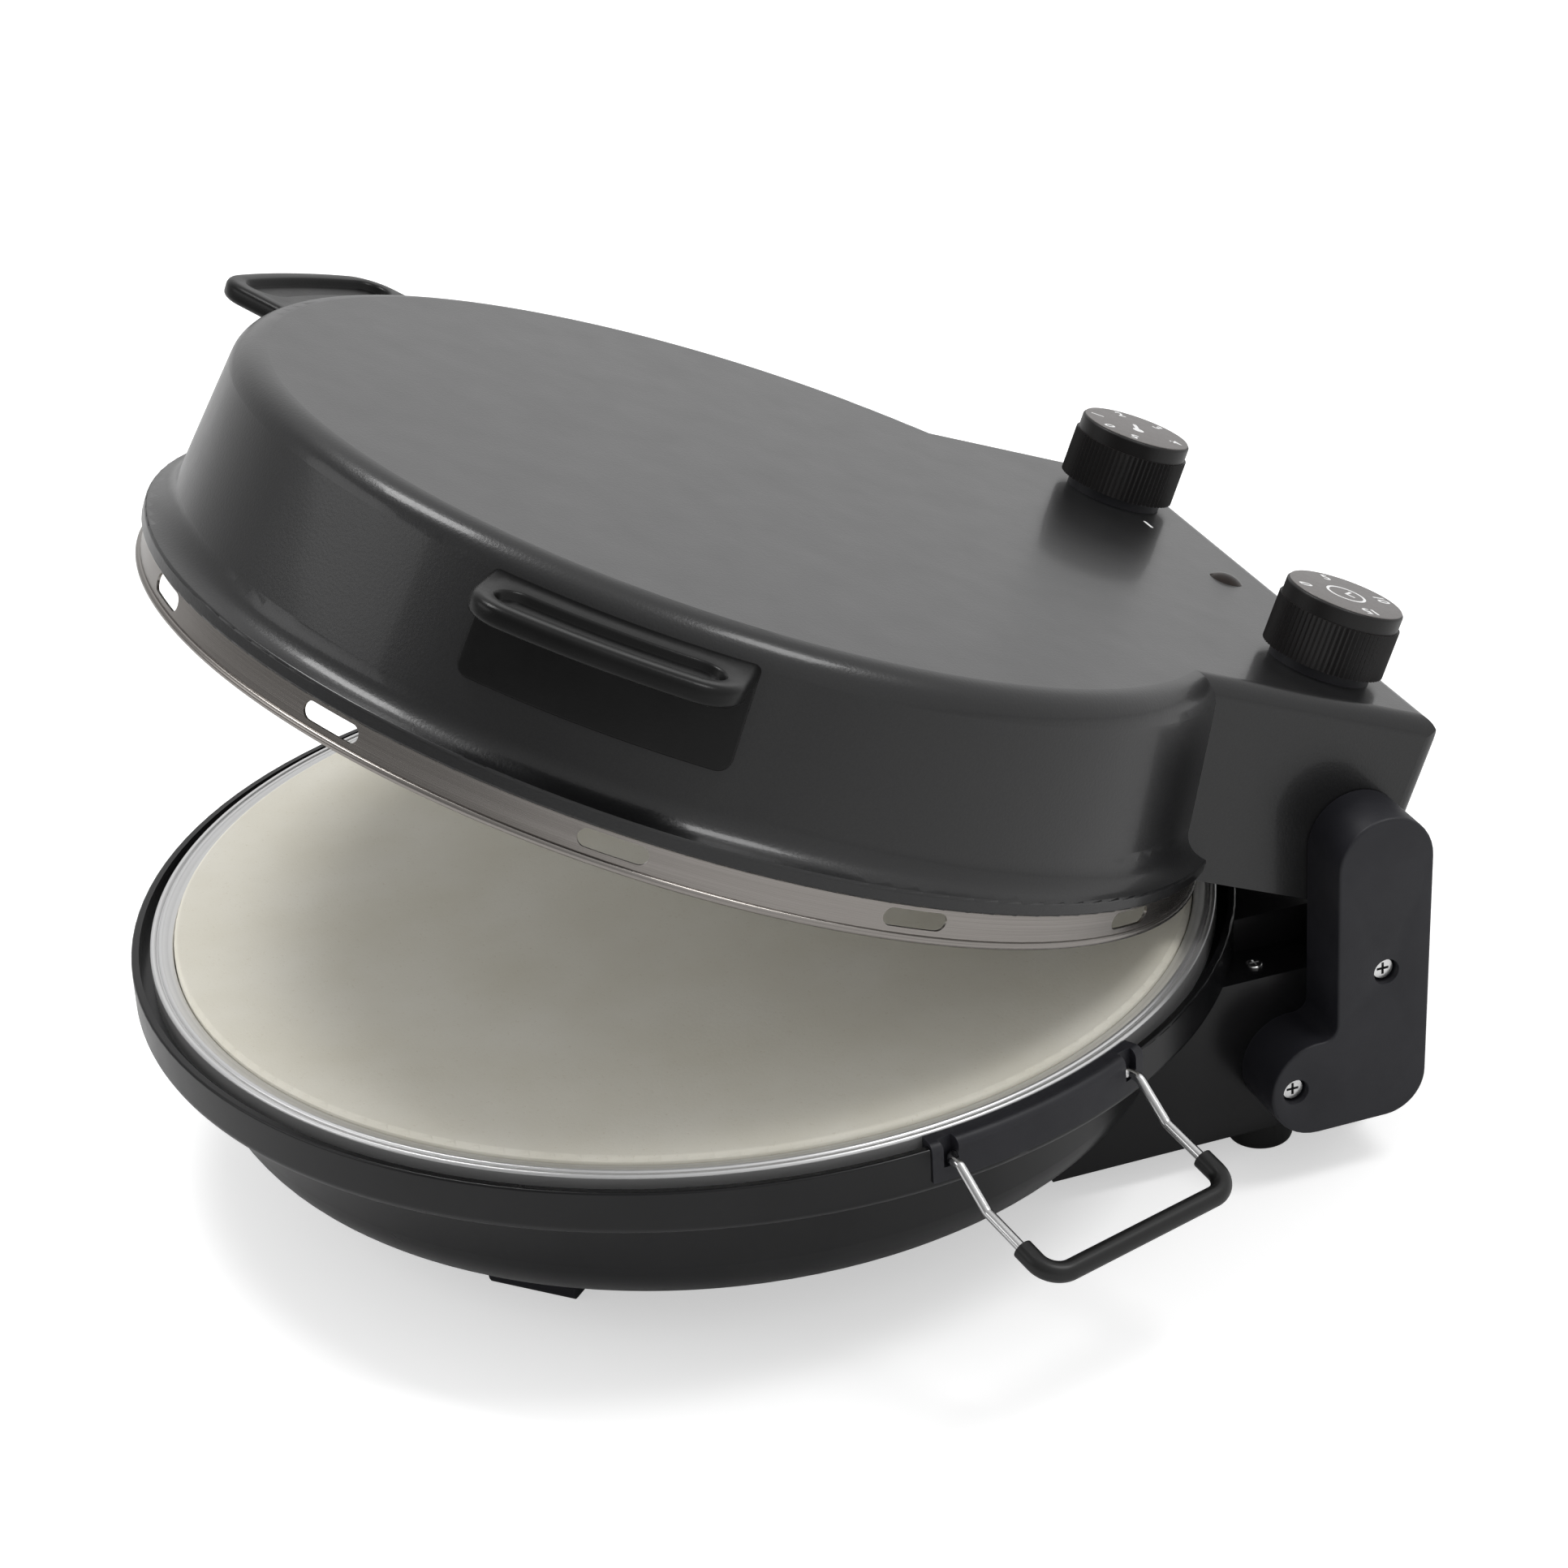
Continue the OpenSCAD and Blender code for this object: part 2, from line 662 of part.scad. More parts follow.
module terminal_block() color([0.9, 0.9, 0.86]) translate([-20, 164, box_bottom_z + plate_t])
    difference() {
        box([0, 0, 0], [40, 15, 14]);
        for (k = [0:2]) box([4 + 12 * k, 3, 8], [12 + 12 * k, 12, 14 + cut]);
    }

module cord_inlet() color([0.05, 0.05, 0.05]) translate([gland_x, box_back, gland_z])
    rotate([-90, 0, 0]) difference() {
        union() {
            cylinder(r = gland_flange_r, h = 3);
            translate([0, 0, -box_wall - 3]) cylinder(r = gland_r, h = box_wall + 9);
        }
        translate([0, 0, -box_wall - 3 - cut]) cylinder(r = gland_bore_r, h = 30);
    }

module front_feet() color([0.06, 0.06, 0.07]) pair() rotate([0, 0, -front_foot_az])
    difference() {
        along_x(front_foot_r - front_foot_t, front_foot_r)
            polygon([[-front_foot_w / 2, 0], [front_foot_w / 2, 0],
                     [front_foot_top / 2, bowl_bottom_z], [-front_foot_top / 2, bowl_bottom_z]]);
        along_y(-front_foot_top, front_foot_top) {
            corner_loss([front_foot_r, 0], [-1, 1], 3);
            corner_loss([front_foot_r - front_foot_t, 0], [1, 1], 3);
        }
    }

module rear_feet() color([0.05, 0.05, 0.05]) pair() translate([box_half - rear_foot_in, rear_foot_y, 0])
    rotate_extrude() difference() {
        polygon([[0, 0], [rear_foot_r - 0.8, 0], [rear_foot_r, box_bottom_z], [0, box_bottom_z]]);
        corner_loss([rear_foot_r - 0.8, 0], [-1, 1], 1.5);
    }

// ---------------------------------------------------------------- bails

module bail_frame(side) {
    if (side > 0) rotate([0, 0, bail_az]) children();
    else mirror([1, 0, 0]) rotate([0, 0, bail_az]) children();
}

bridge_screw_k = 1.5;                       // how much smaller these screws are
bridge_screw_l = 16;                        // length before that

// Small screws that come up from under the skirt, each head sunk a little; +Z points down
module bridge_screw_places() {
    for (side = [1, -1]) bail_frame(side) for (h = [-1, 0, 1])
        rotate([0, 0, h * 6]) translate([(bridge_in_r + groove_r) / 2, 0, skirt_bottom_z + 0.7])
            rotate([180, 0, 0]) scale(1 / bridge_screw_k) children();
}

module handle_bridge(side) difference() {
    rotate([0, 0, (side > 0 ? bail_az : 180 - bail_az) - bridge_half_az])
        rotate_extrude(angle = 2 * bridge_half_az) difference() {
            rect([bridge_in_r, rim_z - bridge_depth], [bridge_out_r, rim_z - bridge_drop]);
            corner_loss([bridge_out_r, rim_z - bridge_drop], [-1, -1], bridge_round);
        }
    bail_frame(side) for (s = [-1, 1]) {
        // slot that the leg swings in
        low_h = s > 0 ? bail_half - bail_pin_bend : -bail_half - bail_slot / 2;
        high_h = s > 0 ? bail_half + bail_slot / 2 : -bail_half + bail_pin_bend;
        box([bail_pivot_n - bail_r - 0.3, low_h, bail_pivot_z - bail_r - 0.3],
            [bridge_out_r + 4, high_h, rim_z + cut]);
        // bore for the bent end
        translate([bail_pivot_n, s * bail_half, bail_pivot_z]) rotate([s * 90, 0, 0])
            cylinder(r = bail_r + bail_gap, h = bail_pin_bend + bail_pin_in + 0.5, $fn = 48);
    }
    bridge_screw_places() translate([0, 0, -bridge_screw_l])
        cylinder(r = screw_r, h = bridge_screw_l, $fn = 48);
}

module handle_bridge_right() color([0.06, 0.06, 0.07]) handle_bridge(1);
module handle_bridge_left() color([0.06, 0.06, 0.07]) handle_bridge(-1);
module bridge_screws() color([0.72, 0.72, 0.74])
    bridge_screw_places() screw(bridge_screw_l);

// The gripped end: a U in a sloping plane, from leg to leg, starting at the legs' kink
module bail_grip(r, start) {
    run = bail_reach - bail_bend;
    translate([bail_pivot_n + bail_kink[0], 0, bail_pivot_z + bail_kink[1]])
        rotate([0, bail_tilt, 0]) {
            for (s = [-1, 1]) {
                translate([start, s * bail_half, 0]) rotate([0, 90, 0])
                    cylinder(r = r, h = run - start, $fn = 48);
                translate([run, s * (bail_half - bail_bend), 0]) rotate([0, 0, s > 0 ? 0 : -90])
                    rotate_extrude(angle = 90) translate([bail_bend, 0]) circle(r = r, $fn = 48);
            }
            translate([bail_reach, bail_half - bail_bend, 0]) rotate([90, 0, 0])
                cylinder(r = r, h = 2 * (bail_half - bail_bend), $fn = 48);
        }
}

module bail_wire_path() {
    pivot = [bail_pivot_n, 0, bail_pivot_z];
    knee = pivot + [bail_knee, 0, 0];
    kink = pivot + [bail_kink[0], 0, bail_kink[1]];
    grip = kink + bail_reach * [cos(bail_tilt), 0, -sin(bail_tilt)];
    out = [0, bail_half, 0];
    inner = [0, bail_half - bail_pin_bend - 1, 0];
    wire(rounded_route([pivot - inner, pivot - out, knee - out, kink - out, grip - out,
                        grip + out, kink + out, knee + out, pivot + out, pivot + inner],
        [bail_pin_bend, 2.2, 4, bail_bend, bail_bend, 4, 2.2, bail_pin_bend], 6), bail_r - 0.03);
    for (s = [-1, 1]) translate(pivot + s * inner) rotate([s * 90, 0, 0])
        cylinder(r = bail_r, h = bail_pin_in - 1, $fn = 48);
}

module carry_bail_right() color([0.76, 0.76, 0.78]) bail_frame(1) bail_wire_path();
module carry_bail_left() color([0.76, 0.76, 0.78]) bail_frame(-1) bail_wire_path();

module bail_sleeve(side) bail_frame(side) difference() {
    bail_grip(sleeve_d / 2, sleeve_start);
    bail_grip(bail_r + 0.02, 0);
}
module bail_sleeve_right() color([0.04, 0.04, 0.04]) bail_sleeve(1);
module bail_sleeve_left() color([0.04, 0.04, 0.04]) bail_sleeve(-1);

// ---------------------------------------------------------------- hinge

cover_screws = [[cover_y + 0.4, rim_z - 8.8], [toe_y - 7.5, toe_z + 0.6]];
cover_front = cover_y - cover_top_r;

// Side view of a boot-shaped cover
module cover_side() {
    hollow_y = cover_front - cover_hollow_r;
    hollow_z = toe_z + sqrt(pow(toe_r + cover_hollow_r, 2) - pow(hollow_y - toe_y, 2));
    touch = toe_r / (toe_r + cover_hollow_r);
    translate([cover_y, cover_z]) circle(r = cover_top_r);
    translate([toe_y, toe_z]) circle(r = toe_r);
    translate([heel_y, sole_z + heel_r]) circle(r = heel_r);
    polygon([[toe_y, sole_z], [heel_y, sole_z], [heel_y + heel_r, sole_z + heel_r],
             [cover_y + cover_top_r, cover_z], [cover_front, cover_z], [cover_front, toe_z],
             [toe_y, toe_z]]);
    difference() {
        polygon([[toe_y, toe_z], [cover_front + cut, toe_z], [cover_front + cut, hollow_z],
                 [hollow_y, hollow_z],
                 [toe_y + (hollow_y - toe_y) * touch, toe_z + (hollow_z - toe_z) * touch]]);
        translate([hollow_y, hollow_z]) circle(r = cover_hollow_r);
    }
}

module hinge_cover() difference() {
    along_x(cover_x, cover_x + cover_t) cover_side();
    along_x(cover_x - cut, cover_x + cover_t - 3) translate([hinge_y, hinge_z])
        circle(r = pin_r);
    for (p = cover_screws) {
        along_x(cover_x + cover_t - recess_depth, cover_x + cover_t + cut)
            translate(p) circle(r = recess_r);
        along_x(cover_x - cut, cover_x + cover_t) translate(p) circle(r = screw_r, $fn = 48);
    }
}
module hinge_cover_right() color([0.09, 0.09, 0.1]) hinge_cover();
module hinge_cover_left() color([0.09, 0.09, 0.1]) mirror([1, 0, 0]) hinge_cover();

module hinge_cover_screws() color([0.8, 0.8, 0.82]) pair() for (p = cover_screws)
    translate([cover_x + cover_t - recess_depth + screw_head_h, p[0], p[1]])
        rotate([0, 90, 0]) screw(cover_t + 4);

module hinge_pins() color([0.7, 0.7, 0.72]) pair()
    along_x(lid_box_half - pin_in, cover_x + cover_t - 3) translate([hinge_y, hinge_z])
        circle(r = pin_r);

// ---------------------------------------------------------------- lid

function dome_side(z, inset = 0) =
    dome_low_r - (z - flare_z) * tan(dome_draft) - inset / cos(dome_draft);

// Half section of the dome above the flare
module dome_half(inset, low_z) {
    r = dome_round - inset;
    middle_r = dome_side(dome_round_z, dome_round);
    tangent_z = dome_round_z + r * sin(dome_draft);
    polygon([[0, low_z], [dome_side(low_z, inset), low_z], [dome_side(tangent_z, inset), tangent_z],
             [middle_r, dome_z - inset], [0, dome_z - inset]]);
    translate([middle_r, dome_round_z]) circle(r = r);
}

// Half section of the flare, hollowed by a circle that touches the dome's foot
module flare_half() {
    difference() {
        rect([0, lip_z], [lip_r, flare_z]);
        translate([dome_low_r + flare_r, flare_z]) circle(r = flare_r);
        corner_loss([lip_r, lip_z], [-1, 1], 0.8);
        corner_loss([lip_r, lip_top_z], [-1, -1], lip_round);
    }
}

// Side view of the lid's box: leaning rear wall, rounded top edge, swing cut below
module lid_box_side(inset) {
    top = dome_z - inset;
    low = lid_box_z;
    back = lid_box_back - inset;
    round_r = max(lid_box_round - inset, 0.5);
    reach = (top - hinge_z) * tan(lid_box_lean) / 2;
    difference() {
        polygon([[60, low], [back, low], [back, hinge_z], [back - reach, top], [60, top]]);
        corner_loss([back - reach, top], [-1, -1], round_r);
        difference() {
            rect([hinge_y, low - cut], [back + cut, hinge_z]);
            translate([hinge_y, hinge_z]) circle(r = lid_swing_r - inset);
        }
    }
}

module lid_box(inset) {
    half = lid_box_half - inset;
    back = lid_box_back - inset;
    top = dome_z - inset;
    round_r = max(lid_box_round - inset, 0.5);
    difference() {
        along_x(-half, half) lid_box_side(inset);
        for (s = [-1, 1]) {
            along_y(60 - cut, lid_box_back + cut) corner_loss([s * half, top], [-s, -1], round_r);
            linear_extrude(dome_z + cut)
                corner_loss([s * half, back + corner_shift], [-s, -1], round_r);
        }
    }
}

lid_cover_screws = [[lid_box_half - 12.5, hinge_y - 15], [30, hinge_y + 9]];

module lid_cover_screw_places() {
    for (p = lid_cover_screws) pair() translate([p[0], p[1], lid_box_z]) children();
}

module lid_shell() color([0.2, 0.2, 0.21]) lid_pose() difference() {
    union() {
        rotate_extrude() dome_half(0, flare_z);
        rotate_extrude() flare_half();
        lid_box(0);
    }
    // the dome's hollow and the seat of the steel ring
    rotate_extrude() dome_half(lid_wall, flare_z);
    rotate_extrude() difference() {
        rect([0, lid_box_z - cut], [ring_r, flare_z]);
        translate([dome_low_r + flare_r, flare_z]) circle(r = flare_r + lid_wall);
    }
    // the box's hollow, open below, with bosses left for its cover and its pins
    difference() {
        lid_box(lid_box_wall);
        rotate_extrude() dome_half(0, flare_z);
        rotate_extrude() flare_half();
        rotate_extrude() rect([0, lid_box_z - cut], [lip_r, lip_z + cut]);
        for (s = [-1, 1]) along_x(s > 0 ? lid_box_half - pin_in - 1 : -lid_box_half,
            s > 0 ? lid_box_half : -lid_box_half + pin_in + 1) translate([hinge_y, hinge_z])
                circle(r = pin_r + 3);
        lid_cover_screw_places() translate([0, 0, lid_box_wall]) cylinder(r = boss_r, h = dome_rise);
    }
    lid_cover_screw_places() cylinder(r = screw_r, h = 14, $fn = 48);
    for (s = [-1, 1]) along_x(s > 0 ? lid_box_half - pin_in - 0.3 : -lid_box_half - cut,
        s > 0 ? lid_box_half + cut : -lid_box_half + pin_in + 0.3)
            translate([hinge_y, hinge_z]) circle(r = pin_r + pin_gap);
    for (s = [-1, 1]) translate([s * knob_x, knob_y, dome_z - panel_t - cut])
        cylinder(r = shaft_r + 1.5, h = panel_t + 2 * cut);
    translate([0, lens_y, dome_z - panel_t - cut]) cylinder(r = lens_stem_r, h = panel_t + 2 * cut);
    element_legs(upper_element_z, element_clear);
    grip_screw_places() cylinder(r = screw_r + 0.2, h = 30, center = true, $fn = 48);
}

module lid_ring() color([0.8, 0.8, 0.82]) lid_pose() difference() {
    rotate_extrude() {
        rect([ring_r - ring_t, bead_z], [ring_r, ring_top_z]);
        translate([ring_r - ring_t / 2, bead_z]) circle(r = bead_r, $fn = 48);
    }
    for (k = [0:slots - 1]) rotate([0, 0, slot_az + k * 360 / slots])
        translate([ring_r - ring_t - 2, 0, rim_z + slot_rise]) rotate([90, 0, 90]) linear_extrude(ring_t + 4) {
            square([slot_l - slot_h, slot_h], center = true);
            for (s = [-1, 1]) translate([s * (slot_l - slot_h) / 2, 0])
                circle(d = slot_h, $fn = 48);
        }
}

// Thin liner: a shallow dish whose foot is turned out to the dome
module upper_reflector() color([0.72, 0.72, 0.72]) lid_pose() difference() {
    foot_z = flare_z + 1;
    side_r = dome_side(foot_z, lid_wall) - reflector_space;
    rotate_extrude() difference() {
        union() {
            rect([0, foot_z], [side_r, reflector_z]);
            rect([0, foot_z], [dome_side(foot_z + reflector_t, lid_wall + 0.2), foot_z + reflector_t]);
        }
        corner_loss([side_r, reflector_z], [-1, -1], 8);
        difference() {
            rect([0, foot_z - cut], [side_r - reflector_t, reflector_z - reflector_t]);
            corner_loss([side_r - reflector_t, reflector_z - reflector_t], [-1, -1], 7);
        }
    }
    element_legs(upper_element_z, element_clear);
}

module upper_element() color([0.3, 0.28, 0.27]) lid_pose() element(upper_element_z);
module upper_element_clips() color([0.75, 0.75, 0.76]) lid_pose()
    element_clips(upper_element_z, upper_element_z - clip_w / 2, reflector_z - reflector_t);

module lid_box_cover() color([0.12, 0.12, 0.13]) lid_pose() difference() {
    half = lid_box_half - lid_box_wall;
    back = hinge_y + sqrt(pow(lid_swing_r - lid_box_wall, 2) - pow(hinge_z - lid_box_z, 2));
    box([-half, 60, lid_box_z], [half, back - 0.2, lid_box_z + lid_box_wall]);
    cylinder(r = lip_r + 0.02, h = 3 * rim_z);
    lid_cover_screw_places() {
        translate([0, 0, -cut]) cylinder(r = screw_r + 0.3, h = 10, $fn = 48);
        translate([0, 0, -cut]) cylinder(r = screw_head_r + 0.2, h = screw_head_h + cut, $fn = 48);
    }
}

module lid_box_screws() color([0.7, 0.7, 0.72]) lid_pose()
    lid_cover_screw_places() rotate([180, 0, 0]) screw(12);

lens_y = 168.5;
lens_r = 4.5;
lens_h = 2.5;
lens_stem_r = 2.6;

// Body of a rotary control, hung under the panel, with a bore for its shaft
module control(side, size, height) translate([side * knob_x, knob_y, dome_z - panel_t - height])
    difference() {
        union() {
            box([-size / 2, -size / 2, 0], [size / 2, size / 2, height]);
            cylinder(r = shaft_r + 1.4, h = height + panel_t);
        }
        translate([0, 0, shaft_floor - 0.3]) cylinder(r = shaft_r + shaft_gap, h = height + panel_t);
    }

module heat_control() color([0.8, 0.78, 0.7]) lid_pose() control(-1, 28, heat_depth);
module time_control() color([0.8, 0.78, 0.7]) lid_pose() control(1, 30, timer_depth);

module knob_collars() color([0.04, 0.04, 0.04]) lid_pose() pair()
    translate([knob_x, knob_y, dome_z]) difference() {
        cylinder(r = collar_r, h = collar_h);
        translate([0, 0, -cut]) cylinder(r = shaft_r + 1.5, h = collar_h + 2 * cut);
    }

module indicator_lens() color([0.12, 0.06, 0.03]) lid_pose() translate([0, lens_y, dome_z]) {
    ball_r = (lens_r * lens_r + lens_h * lens_h) / (2 * lens_h);
    intersection() {
        translate([0, 0, lens_h - ball_r]) sphere(r = ball_r);
        cylinder(r = lens_r, h = lens_h + cut);
    }
    translate([0, 0, -panel_t]) cylinder(r = lens_stem_r, h = panel_t);
}

module indicator_lamp() color([0.9, 0.5, 0.2]) lid_pose()
    translate([0, lens_y, dome_z - panel_t - 12]) {
        cylinder(r = lens_stem_r, h = 12);
        cylinder(r = lens_stem_r + 1, h = 3);
    }

// ---------------------------------------------------------------- lid handles

grip_screw_z = rim_z + 47;
grip_screw_az = 8;

module grip_screw_places() {
    for (s = [-1, 1]) for (a = [-grip_screw_az, grip_screw_az])
        rotate([0, 0, (s > 0 ? grip_az : 180 - grip_az) + a])
            translate([dome_side(grip_screw_z, lid_wall), 0, grip_screw_z]) rotate([0, 90 - dome_draft, 0])
                children();
}

// Plan of the grip: straight ends, outer edge round the lid's middle, round corners
module grip_plan(inset, inner) {
    r = grip_corner - inset;
    outer = grip_r - inset;
    half = grip_half - inset;
    c = [sqrt(pow(outer - r, 2) - pow(half - r, 2)), half - r];
    touch = c * outer / (outer - r);
    polygon([[inner, -half], [c[0], -half], [c[0], -c[1]], [touch[0], -touch[1]],
             [touch[0], touch[1]], [c[0], c[1]], [c[0], half], [inner, half]]);
    for (s = [-1, 1]) translate([c[0], s * c[1]]) circle(r = r);
    intersection() {
        circle(r = outer, $fn = 180);
        rect([c[0], -touch[1]], [outer + cut, touch[1]]);
    }
}

module lid_handle() difference() {
    low = rim_z + grip_low;
    high = rim_z + grip_high;
    union() {
        // back plate that follows the dome
        difference() {
            rotate([0, 0, grip_az - grip_plate_az]) rotate_extrude(angle = 2 * grip_plate_az)
                polygon([[dome_side(low, -0.05), low], [dome_side(low, -grip_plate_t), low],
                         [dome_side(low, -grip_plate_t), high], [dome_side(high, -0.05), high]]);
            rotate([0, 0, grip_az]) along_x(0, grip_r) for (s = [-1, 1])
                corner_loss([s * dome_side(low) * sin(grip_plate_az), low], [-s, 1], grip_plate_round);
        }
        rotate([0, 0, grip_az]) difference() {
            translate([0, 0, high - grip_t]) linear_extrude(grip_t)
                grip_plan(0, dome_side(high) - 6);
            rotate_extrude() rect([0, low], [dome_side(low, -grip_plate_t / 2), high + cut]);
        }
    }
    rotate([0, 0, grip_az]) difference() {
        translate([0, 0, high - grip_hollow]) linear_extrude(grip_hollow + cut)
            grip_plan(grip_edge, dome_side(low, -grip_plate_t) - 1);
        cylinder(r = dome_side(low, -grip_plate_t) + grip_flat, h = 3 * rim_z);
    }
    grip_screw_places() cylinder(r = screw_r, h = 2 * (lid_wall + 2), center = true, $fn = 48);
}
module lid_handle_right() color([0.1, 0.1, 0.11]) lid_pose() lid_handle();
module lid_handle_left() color([0.1, 0.1, 0.11]) lid_pose() mirror([1, 0, 0]) lid_handle();

module lid_handle_screws() color([0.72, 0.72, 0.74]) lid_pose()
    grip_screw_places() rotate([180, 0, 0]) translate([0, 0, screw_head_h + 0.05]) screw(lid_wall + 3.4);

// ---------------------------------------------------------------- knobs

knob_z = dome_z + collar_h + knob_gap;
band_r = knob_r - rib_depth - 0.15;         // smooth band, just inside the hollows

// Plan of the ribbed part: rounded hollows cut in a circle
module rib_plan() {
    n = 2 * knob_ribs;
    polygon([for (k = [0:n - 1]) let (r = knob_r - (k % 2) * rib_depth, a = k * 360 / n)
        [r * cos(a), r * sin(a)]]);
}

module knob(side) translate([side * knob_x, knob_y, knob_z]) difference() {
    union() {
        linear_extrude(knob_h - knob_band) rib_plan();
        rotate_extrude() difference() {
            rect([0, knob_h - knob_band - 1], [band_r, knob_h]);
            corner_loss([band_r, knob_h], [-1, -1], 0.8);
        }
    }
    translate([0, 0, -cut]) cylinder(r = knob_r - 3, h = 3 + cut);
    translate([0, 0, -cut]) cylinder(r = shaft_r, h = knob_h - knob_crown + cut, $fn = 48);
    translate([0, 0, knob_h - cap_t]) cylinder(r = band_r - cap_edge, h = cap_t + cut);
}

module knob_cap(side) translate([side * knob_x, knob_y, knob_z + knob_h - cap_t])
    cylinder(r = band_r - cap_edge, h = cap_t);

module knob_shaft(side, depth) translate([side * knob_x, knob_y, dome_z - panel_t - depth])
    cylinder(r = shaft_r, h = depth + panel_t + collar_h + knob_gap + knob_h - knob_crown, $fn = 48);

module timer_knob() color([0.12, 0.12, 0.13]) lid_pose() knob(1);
module timer_knob_cap() color([0.42, 0.42, 0.44]) lid_pose() knob_cap(1);
module timer_shaft() color([0.75, 0.75, 0.76]) lid_pose() knob_shaft(1, timer_depth - shaft_floor);
module heat_knob() color([0.12, 0.12, 0.13]) lid_pose() knob(-1);
module heat_knob_cap() color([0.42, 0.42, 0.44]) lid_pose() knob_cap(-1);
module heat_shaft() color([0.75, 0.75, 0.76]) lid_pose() knob_shaft(-1, heat_depth - shaft_floor);

// ---------------------------------------------------------------- drawing

base_shell();
base_bottom_cover();
bottom_cover_screws();
steel_rim();
pizza_stone();
lower_element();
lower_element_clips();
thermal_cutout();
terminal_block();
cord_inlet();
front_feet();
rear_feet();
handle_bridge_right();
handle_bridge_left();
bridge_screws();
carry_bail_right();
carry_bail_left();
bail_sleeve_right();
bail_sleeve_left();
hinge_cover_right();
hinge_cover_left();
hinge_cover_screws();
hinge_pins();
lid_shell();
lid_ring();
upper_reflector();
upper_element();
upper_element_clips();
lid_box_cover();
lid_box_screws();
heat_control();
time_control();
knob_collars();
indicator_lens();
indicator_lamp();
lid_handle_right();
lid_handle_left();
lid_handle_screws();
timer_knob();
timer_knob_cap();
timer_shaft();
heat_knob();
heat_knob_cap();
heat_shaft();
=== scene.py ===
"""Looks of an electric pizza maker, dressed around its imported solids.

Metres, +Z up, the front is -Y. The origin is on the table, under the middle of the stone.
A size in millimetres is written as a number times MM. In names, R is a radius, T a
thickness, HALF a half width and AZ an azimuth from +X. Places on the lid are given for the
lid shut, and lid_turn() takes them to the lid's drawn, open place.
"""
import json
import math

import bmesh
import bpy
from mathutils import Matrix, Vector


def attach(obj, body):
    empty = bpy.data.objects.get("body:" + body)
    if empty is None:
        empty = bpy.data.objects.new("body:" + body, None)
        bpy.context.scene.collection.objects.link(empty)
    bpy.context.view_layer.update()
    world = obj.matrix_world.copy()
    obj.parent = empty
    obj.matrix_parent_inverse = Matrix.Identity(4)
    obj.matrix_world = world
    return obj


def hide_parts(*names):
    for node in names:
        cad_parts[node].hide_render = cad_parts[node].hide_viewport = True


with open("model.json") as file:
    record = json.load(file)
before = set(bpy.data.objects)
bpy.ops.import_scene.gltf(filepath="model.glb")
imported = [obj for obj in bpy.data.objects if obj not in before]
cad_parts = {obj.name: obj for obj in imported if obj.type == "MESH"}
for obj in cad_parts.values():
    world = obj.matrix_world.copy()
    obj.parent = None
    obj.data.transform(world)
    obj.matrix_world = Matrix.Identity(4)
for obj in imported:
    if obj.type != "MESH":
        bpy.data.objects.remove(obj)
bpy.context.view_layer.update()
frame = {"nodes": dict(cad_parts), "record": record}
NODES = frame["nodes"]

MM = 0.001

# ---------------------------------------------------------------- driving places

LID_OPEN = math.radians(22.5)
HINGE = Vector((0.0, 163 * MM, 104.5 * MM))
RIM_Z = 76 * MM
DOME_TOP_Z = RIM_Z + 70 * MM
FLARE_Z = RIM_Z + 25 * MM
DOME_LOW_R = 158.2 * MM
DOME_DRAFT = math.radians(7.2)
KNOB_X = 72.1 * MM
KNOB_Y = 162.8 * MM
KNOB_RISE = 23.1 * MM               # height of a knob's top over the panel


def lid_turn():
    """The turn that takes a place on the shut lid to the same place on the open one."""
    turn = Matrix.Rotation(-LID_OPEN, 4, "X")
    return Matrix.Translation(HINGE) @ turn @ Matrix.Translation(-HINGE)


def dome_side(z):
    """Radius of the dome's side at a height, with the lid shut."""
    return DOME_LOW_R - (z - FLARE_Z) * math.tan(DOME_DRAFT)


# ---------------------------------------------------------------- camera

CAMERA_AT = Vector((1.0535, -0.3341, 0.6759))
CAMERA_TARGET = Vector((0.008645, 0.031598, 0.108353))
CAMERA_ROLL = math.radians(-3.321)
CAMERA_LENS_MM = 94.56
SENSOR_MM = 36.0
CAMERA_CLIP = (0.01, 50)


def make_camera():
    forward = (CAMERA_TARGET - CAMERA_AT).normalized()
    right = forward.cross(Vector((0, 0, 1))).normalized()
    up = right.cross(forward)
    right_rolled = math.cos(CAMERA_ROLL) * right + math.sin(CAMERA_ROLL) * up
    up_rolled = math.cos(CAMERA_ROLL) * up - math.sin(CAMERA_ROLL) * right
    data = bpy.data.cameras.new("photo_camera")
    data.lens = CAMERA_LENS_MM
    data.sensor_width = SENSOR_MM
    data.sensor_fit = "HORIZONTAL"
    data.clip_start, data.clip_end = CAMERA_CLIP
    camera = bpy.data.objects.new("photo_camera", data)
    turn = Matrix((right_rolled, up_rolled, -forward)).transposed().to_4x4()
    camera.matrix_world = Matrix.Translation(CAMERA_AT) @ turn
    bpy.context.scene.collection.objects.link(camera)
    bpy.context.scene.camera = camera


# ---------------------------------------------------------------- node helpers

